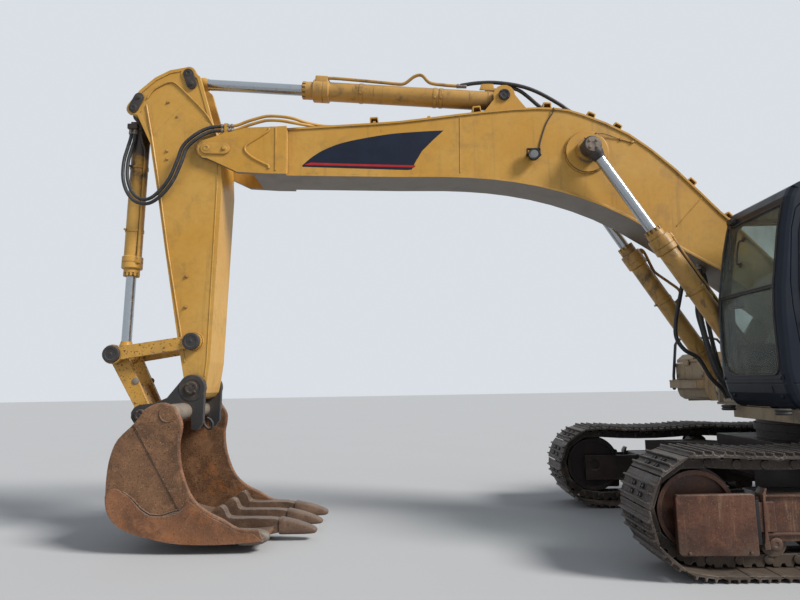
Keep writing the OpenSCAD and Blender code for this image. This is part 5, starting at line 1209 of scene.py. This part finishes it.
def add_cab_details():
    y0, y1 = CAB_IN + 88, CAB_OUT - 62
    with Build("cab_seals", "house", "seal") as b:
        upper = [(y0, 2189), (y1, 2189), (y1, 2400), (y1, 2620), (y1, 2800), (y1, 2845), (y0, 2845), (y0, 2800),
                 (y0, 2620), (y0, 2400)]
        lower = [(y0, 2171), (y0, 1950), (y0, 1660)]
        quarter = [math.radians(a) for a in range(0, 91, 15)]
        lower += [(y0 + 170 - 170 * math.cos(a), 1645 - 170 * math.sin(a)) for a in quarter]
        lower += [(y1 - 90 + 90 * math.sin(a), 1565 - 90 * math.cos(a)) for a in quarter]
        lower += [(y1, 1950), (y1, 2171)]
        seal(b, on_front(upper, 1), 9)
        seal(b, on_front(lower, 1), 9)
        for side, loop in ((CAB_OUT + 1, [(-450, 1900), (110, 1900), (110, 2880), (-450, 2880)]),
                           (CAB_IN - 1, [(-440, 1760), (1075, 1760), (1085, 1950), (1065, 2190), (990, 2620),
                                         (940, 2830), (860, 2900), (-440, 2900)])):
            seal(b, [(x, side, z) for x, z in loop], 10)
        seal(b, [(-561, y, z) for y, z in ((595, 1950), (1340, 1950), (1340, 2880), (595, 2880))], 10)
        seal(b, [(x, y, 3041) for x, y in ((-150, 665), (600, 665), (600, 1270), (-150, 1270))], 10)
    with Build("cab_front_trim", "house", "navy") as b:
        front_strip(b, CAB_IN + 66, CAB_OUT - 50, 2171, 2190, 5)
        front_strip(b, CAB_IN + 40, CAB_OUT - 40, 1436, 1472, 7)
        front_strip(b, 1089, 1233, 1333, 1388, 5)
        for y in (560, 1390):
            b.bolt((front_x(1454) + 6, y, 1454), (1, 0, 0.1), 10, 8)
        for y in (CAB_IN + 130, CAB_OUT - 130):
            b.bolt((front_x(1300) + 1, y, 1300), (1, 0, -0.5), 11, 9)
    with Build("cab_front_fittings", "house", "black") as b:
        b.tube(curve_through(on_front([(880, 2440), (880, 2450)], 8) + on_front([(880, 2470)], 40)
                             + on_front([(880, 2640)], 40) + on_front([(880, 2660), (880, 2670)], 8), 4), 9, 10)
        for z in (2440, 2670):
            b.lathe((front_x(z), 880, z), (1, 0, 0.17), [(22, -2), (22, 8), (16, 12), (2, 12)], 20)
        arm = on_front([(640, 2862), (650, 2800), (690, 2600), (722, 2420)], 20)
        b.tube(arm, 6, 8)
        blade = on_front([(690, 2760), (712, 2640), (735, 2520), (752, 2410)], 13)
        b.tube(blade, 8, 8)
        b.block(1010, 1080, 600, 690, 2868, 2915, 8)
        rail = ((6, 1880), (46, 1890), (52, 2100), (52, 2700), (46, 2910), (6, 2920))
        b.tube(curve_through([(-430, CAB_OUT + out, z) for out, z in rail], 4), 13, 10)
        for z in (1880, 2920):
            b.lathe((-430, CAB_OUT, z), LEFT, [(26, -2), (26, 6), (20, 9), (2, 9)], 20)
    with Build("cab_roof_parts", "house", "navy") as b:
        for y in (CAB_IN + 60, CAB_OUT - 110):
            b.slab([(-470, 3036), (790, 3036), (770, 3052), (-450, 3052)], y, y + 50, 5)
        b.bolts((-400, 700), (600, 1330), (3052,), UP, 12, 10)
    with Build("cab_mounts", "house", "rubber") as b:
        for x in (-485, 1190):
            for y in (560, 1370):
                b.lathe((x, y, 1166), UP, [(52, 0), (60, 6), (60, 16), (50, 24), (60, 32), (60, 42), (52, 48)], 24)
    with Build("cab_lower_bolts", "house", "black") as b:
        b.bolts(range(-480, 1000, 240), (CAB_OUT,), (1290,), LEFT, 12, 9)
        b.bolts(range(-480, 1100, 240), (CAB_IN,), (1290,), RIGHT, 12, 9)
        b.bolts(range(-480, 1100, 240), (CAB_IN,), (1660,), RIGHT, 10, 8)
        b.bolts((-560,), range(560, 1400, 200), (1290,), (-1, 0, 0), 12, 9)
    with Build("door_seal", "cab_door", "seal") as b:
        seal(b, [(x, CAB_OUT + 1, z) for x, z in ((290, 1950), (1008, 1950), (1008, 2180), (965, 2600), (925, 2750),
                                                  (860, 2795), (290, 2795))], 9)
        seal(b, [(x, CAB_OUT - 11, z) for x, z in ((310, 1400), (920, 1400), (975, 1560), (1000, 1860),
                                                   (310, 1860))], 7)
    with Build("door_latch", "cab_door", "black") as b:
        b.block(880, 1000, CAB_OUT - 1, CAB_OUT + 9, 1862, 1928, 5)
        b.lathe((905, CAB_OUT + 8, 1895), LEFT, [(14, 0), (14, 6), (10, 8), (3, 8), (3, 5), (1, 5)], 20)
        b.tube([(305, CAB_OUT - 13, 1630), (970, CAB_OUT - 13, 1630)], 9, 8)


def add_cab_inside():
    mid, low = (CAB_IN + CAB_OUT) / 2, CAB_FLOOR_Z
    with Build("operator_seat", "house", "seat", "cab_interior", smooth=60) as b:
        b.block(10, 420, mid - 235, mid + 235, low + 330, low + 470, 45, 4)
        b.slab([(-30, low + 462), (105, low + 462), (60, low + 800), (-2, low + 1180), (-108, low + 1180)],
               mid - 232, mid + 232, 40, 4)
        b.block(-95, 10, mid - 130, mid + 130, low + 1150, low + 1240, 26, 4)
    with Build("cab_consoles", "house", "plastic") as b:
        b.block(20, 420, mid - 210, mid + 210, low, low + 325, 20)
        for s in SIDES:
            y = mid + s * 320
            b.slab([(-30, low + 200), (550, low + 200), (610, low + 560), (550, low + 640), (-30, low + 600)],
                   y - 60, y + 60, 18, 3)
            b.tube(curve_through([(530, y, low + 620), (535, y, low + 700), (550, y, low + 745)], 5), 10, 10)
            b.lathe((551, y, low + 742), (0.15, 0, 1), [(14, 0), (22, 10), (25, 30), (23, 52), (14, 66), (3, 69)], 20)
            b.lathe((530, y, low + 615), UP, [(48, 0), (40, 14), (30, 28), (18, 44), (12, 58)], 20)
            pedal = mid + s * 110
            b.slab([(740, low + 2), (920, low + 30), (920, low + 44), (740, low + 16)], pedal - 42, pedal + 42, 5)
            b.tube(curve_through([(800, pedal, low + 14), (800, pedal, low + 200), (790, pedal, low + 330),
                                  (760, pedal, low + 372)], 5), 10, 10)
            b.lathe((758, pedal, low + 370), (-0.2, 0, 1), [(10, 0), (20, 8), (22, 24), (16, 36), (3, 38)], 16)
        b.slab([(1090, low + 2), (1130, low + 2), (1100, low + 640), (1060, low + 640)], CAB_IN + 60, CAB_IN + 100, 8)
        b.block(1020, 1100, CAB_IN + 50, CAB_IN + 190, low + 640, low + 760, 12)
    with Build("cab_headliner", "house", "headliner") as b:
        for y in (CAB_IN + 56, CAB_OUT - 150):
            b.slab([(-500, 2960), (-500, 2945), (850, 2945), (980, 2860), (1000, 2872), (880, 2960)], y, y + 94, 6)
        b.slab([(610, 2960), (610, 2940), (850, 2940), (985, 2850), (1004, 2866), (880, 2960)], CAB_IN + 148,
               CAB_OUT - 148, 6)


def grille(b, x0, x1, y, z0, z1, step, side, tilt=7):
    """Pressed louvre blades over a row of slots."""
    z = z0
    while z < z1:
        b.block(x0, x1, y - side * 2, y + side * tilt, z, z + 8, 2)
        z += step


def add_house_details():
    rad_y, pump_y = SHELL_H - 10, -(SHELL_H - 10)
    with Build("radiator_trim", "house", "house") as b:
        grille(b, -2170, -1610, rad_y, 1490, 2010, 52, 1)
        for x0, x1 in ((-2290, -1500), (-710, -612)):
            for z in (1190, 2130):
                b.block(x0, x1, rad_y - 2, rad_y + 5, z, z + 12, 3)
        b.bolts((-2260, -1900, -1540), (rad_y,), (1240, 2085), LEFT, 11, 8)
    with Build("radiator_door_trim", "radiator_door", "house") as b:
        grille(b, -1355, -845, rad_y, 1508, 1990, 60, 1)
        b.bolts((-1440, -760), (rad_y,), (1240, 2060), LEFT, 9, 7)
        b.block(-1300, -900, rad_y - 1, rad_y + 5, 1250, 1440, 4)
    with Build("pump_door_trim", "pump_door", "house") as b:
        for z in (1300, 1690):
            b.block(-2120, -1560, pump_y - 6, pump_y + 1, z, z + 320, 5)
        b.bolts((-2160, -1380), (pump_y,), (1240, 2060), RIGHT, 9, 7)
    with Build("tank_trim", "house", "house") as b:
        for x in (-560, -60):
            b.block(x, x + 50, pump_y - 6, pump_y + 1, 1115, 1800, 3)
            b.bolt((x + 25, pump_y - 5, 1180), RIGHT, 13, 10)
            b.block(x, x + 50, pump_y, -570, 1799, 1806, 2)
        b.bolts((-1180, -780), (-1380, -640), (2180,), UP, 12, 9)
        b.bolt_circle((*OIL_CAP, 2219), UP, 76, 8, 8, 7)
    with Build("tank_caps", "house", "black") as b:
        b.lathe((-100, -1200, 1848), UP, [(74, -2), (80, 2), (80, 26), (74, 32), (30, 34), (2, 34)], 12)
        b.lathe((*OIL_CAP, 2218), UP, [(48, 0), (52, 4), (52, 30), (44, 40), (2, 42)], 24)
        b.tube(curve_through([(-640, pump_y - 14, 1300), (-640, pump_y - 16, 1400), (-640, pump_y - 16, 1700),
                              (-640, pump_y - 14, 1760)], 4), 11, 10)
    with Build("exhaust_details", "house", "black") as b:
        b.lathe((*EXHAUST, 2230), UP, [(112, 0), (112, 8), (104, 12), (66, 12)], 32)
        for z in (2300, 2560):
            b.lathe((*EXHAUST, z), UP, ring_profile(68, 29, 6), 32)
        b.bolt_circle((*EXHAUST, 2240), UP, 90, 6, 9, 8)
    with Build("counterweight_details", "house", "house") as b:
        for y in (-900, 900):
            x = tail_x(y)
            b.lathe((x + 6, y, 1400), (x, y, 0), [(60, -10), (60, 3), (54, 6), (40, 6), (36, -2), (1, -2)], 32)
        b.weld([(tail_x(y) - 1, y, 1560) for y in range(-1380, 1381, 60)], 5)
        for y in (-450, 450):
            b.lathe((-2860, y, 2240), UP, [(46, -12), (46, 4), (40, 8), (1, 8)], 24)
    with Build("counterweight_lamps", "house", "lens") as b:
        for y in (-1180, 1180):
            x = tail_x(y)
            b.lathe((x + 4, y, 1900), (x, y, 0), [(44, -8), (44, 8), (36, 14), (1, 15)], 24)
    with Build("hood_details", "engine_hood", "house") as b:
        for y in (-520, 520):
            b.block(-2250, -1450, y - 20, y + 20, 2389, 2396, 3)
        b.bolts((-2140, -1650), (470, -470), (2390,), UP, 10, 8)
        b.tube(curve_through([(-2230, -120, 2388), (-2230, -120, 2420), (-2230, -80, 2432), (-2230, 80, 2432),
                              (-2230, 120, 2420), (-2230, 120, 2388)], 5), 9, 10)
    with Build("engine_details", "house", "iron") as b:
        for x in range(-2200, -1680, 90):
            for y in (-426, 418):
                b.block(x, x + 50, y, y + 8, 1520, 2000, 8)
        for x in range(-2110, -1760, 70):
            b.lathe((x, 0, 2178), UP, [(26, 0), (26, 20), (20, 26), (1, 26)], 20)
        b.tube(curve_through([(-2200, 300, 2055), (-2200, 350, 2110), (-2000, 370, 2140), (-1700, 350, 2120),
                              (-1680, 300, 2055)], 6), 34, 14)


def add_toolbox_details():
    y0 = -(SHELL_H - 40)
    with Build("toolbox_trim", "house", "beige") as b:
        b.weld([(766, y, 1388) for y in range(y0 + 20, y0 + 690, 40)], 5)
        b.bolts((765,), (y0 + 30, y0 + 670), (1480, 1610), AHEAD, 10, 8)
        b.block(760, 862, y0, y0 + 700, 1424, 1436, 4)
        for y in (y0 + 60, y0 + 200, y0 + 340, y0 + 480, y0 + 620):
            b.block(775, 848, y, y + 26, 1435, 1444, 3)
        b.block(300, 640, y0 - 5, y0 + 1, 1180, 1560, 5)
    with Build("toolbox_rust_plate", "house", "bare") as b:
        b.lathe((803, y0 - 4, 1338), LEFT, [(12, 0), (22, 0), (24, 3), (22, 6), (12, 6)], 20)
        b.block(700, 762, y0 - 8, y0 + 2, 1590, 1634, 3)
    with Build("toolbox_lid_parts", "toolbox_lid", "beige") as b:
        b.slab([(579, 1744), (651, 1744), (640, 1768), (590, 1768)], y0 + 300, y0 + 420, 5)
        for y in (y0 + 90, y0 + 590):
            b.block(270, 560, y, y + 12, 1744, 1752, 3)
    with Build("rail_feet", "house", "black") as b:
        y = y0 + 25
        for x, z in ((810, 1425), (190, 1640), (60, 1800), (-1020, 2180), (-2240, 2200), (-1300, 2200)):
            b.lathe((x, y, z), UP, [(34, -1), (34, 7), (30, 10), (20, 10)], 20)


def add_boom_foot_hoses():
    """Black hoses between the boom's underside and the house."""
    runs = [
        ((1080, -90, 2560), (1060, -90, 2450), (1075, -85, 2300), (1090, -80, 2140), (1060, -70, 1960),
         (1030, -60, 1780), (980, -50, 1560), (880, -60, 1350), (822, -60, 1222)),
        ((1100, -30, 2572), (1080, -30, 2450), (1100, -25, 2300), (1120, -20, 2120), (1090, -10, 1930),
         (1050, -5, 1720), (990, 0, 1500), (885, 0, 1330), (836, 0, 1222)),
        ((1060, 30, 2548), (1035, 30, 2430), (1045, 35, 2270), (1060, 40, 2100), (1040, 45, 1900), (1010, 50, 1700),
         (960, 50, 1480), (865, 50, 1320), (822, 55, 1222)),
        ((1120, 90, 2584), (1110, 95, 2460), (1135, 100, 2300), (1150, 105, 2120), (1130, 105, 1930),
         (1085, 100, 1730), (1010, 100, 1500), (890, 110, 1330), (836, 115, 1222)),
        ((1150, -150, 2602), (1180, -150, 2480), (1240, -150, 2250), (1290, -150, 2050), (1300, -145, 1880),
         (1230, -135, 1750), (1100, -125, 1660), (1000, -120, 1470), (880, -118, 1330), (836, -118, 1222)),
    ]
    for i, run in enumerate(runs):
        add_hose(f"foot_hose_{i + 1}", curve_through(run, 5), 21, 12, ("boom", "house", at(*run[1]), at(*run[5])))
    with Build("foot_hose_unions", "boom", "bare") as b:
        for run in runs:
            d = Vector(run[0]) - Vector(run[1])
            d.normalize()
            b.lathe(tuple(Vector(run[0]) - d * 30), tuple(d), [(26, 0), (30, 4), (30, 30), (24, 34), (24, 70)], 6)
    with Build("foot_hose_block", "house", "deck") as b:
        b.block(796, 862, -170, 170, 1204, 1250, 8)


def add_house():
    add_track_details()
    add_cab_details()
    add_cab_inside()
    add_house_details()
    add_toolbox_details()
    add_boom_foot_hoses()


def add_stage():
    mesh = bpy.data.meshes.new("floor")
    half = 60
    mesh.from_pydata([(-half, -half, 0), (half, -half, 0), (half, half, 0), (-half, half, 0)], [], [(0, 1, 2, 3)])
    floor = bpy.data.objects.new("floor", mesh)
    bpy.context.scene.collection.objects.link(floor)
    s = Shader("floor_plain")
    mesh.materials.append(s.finish(s.mix(s.noise(0.6, 4), FLOOR[:3], tuple(0.96 * c for c in FLOOR[:3])), 0.9,
                                   None, Specular_IOR_Level=0.1))


def add_lights():
    light = bpy.data.lights.new("key", "SUN")
    light.energy = KEY_STRENGTH
    light.angle = KEY_ANGLE
    light.color = (1.0, 0.97, 0.92)
    key = bpy.data.objects.new("key", light)
    key.rotation_euler = KEY_FROM.to_track_quat("Z", "Y").to_euler()
    bpy.context.scene.collection.objects.link(key)
    world = bpy.data.worlds.new("studio")
    world.use_nodes = True
    tree = world.node_tree
    plain = tree.nodes["Background"]
    plain.inputs["Color"].default_value = (0.86, 0.93, 1.0, 1.0)
    plain.inputs["Strength"].default_value = SKY_STRENGTH
    shown = tree.nodes.new("ShaderNodeBackground")
    shown.inputs["Color"].default_value = BACKDROP
    path = tree.nodes.new("ShaderNodeLightPath")
    seen = path.outputs["Is Camera Ray"]
    for name in ("Is Glossy Ray", "Is Transmission Ray"):
        either = tree.nodes.new("ShaderNodeMath")
        either.operation = "MAXIMUM"
        tree.links.new(seen, either.inputs[0])
        tree.links.new(path.outputs[name], either.inputs[1])
        seen = either.outputs[0]
    both = tree.nodes.new("ShaderNodeMixShader")
    tree.links.new(seen, both.inputs[0])
    tree.links.new(plain.outputs[0], both.inputs[1])
    tree.links.new(shown.outputs[0], both.inputs[2])
    tree.links.new(both.outputs[0], tree.nodes["World Output"].inputs["Surface"])
    bpy.context.scene.world = world


add_camera()
add_lights()
add_stage()
dress_nodes()
add_arm()
add_house()
bpy.context.scene.view_settings.view_transform = "Standard"
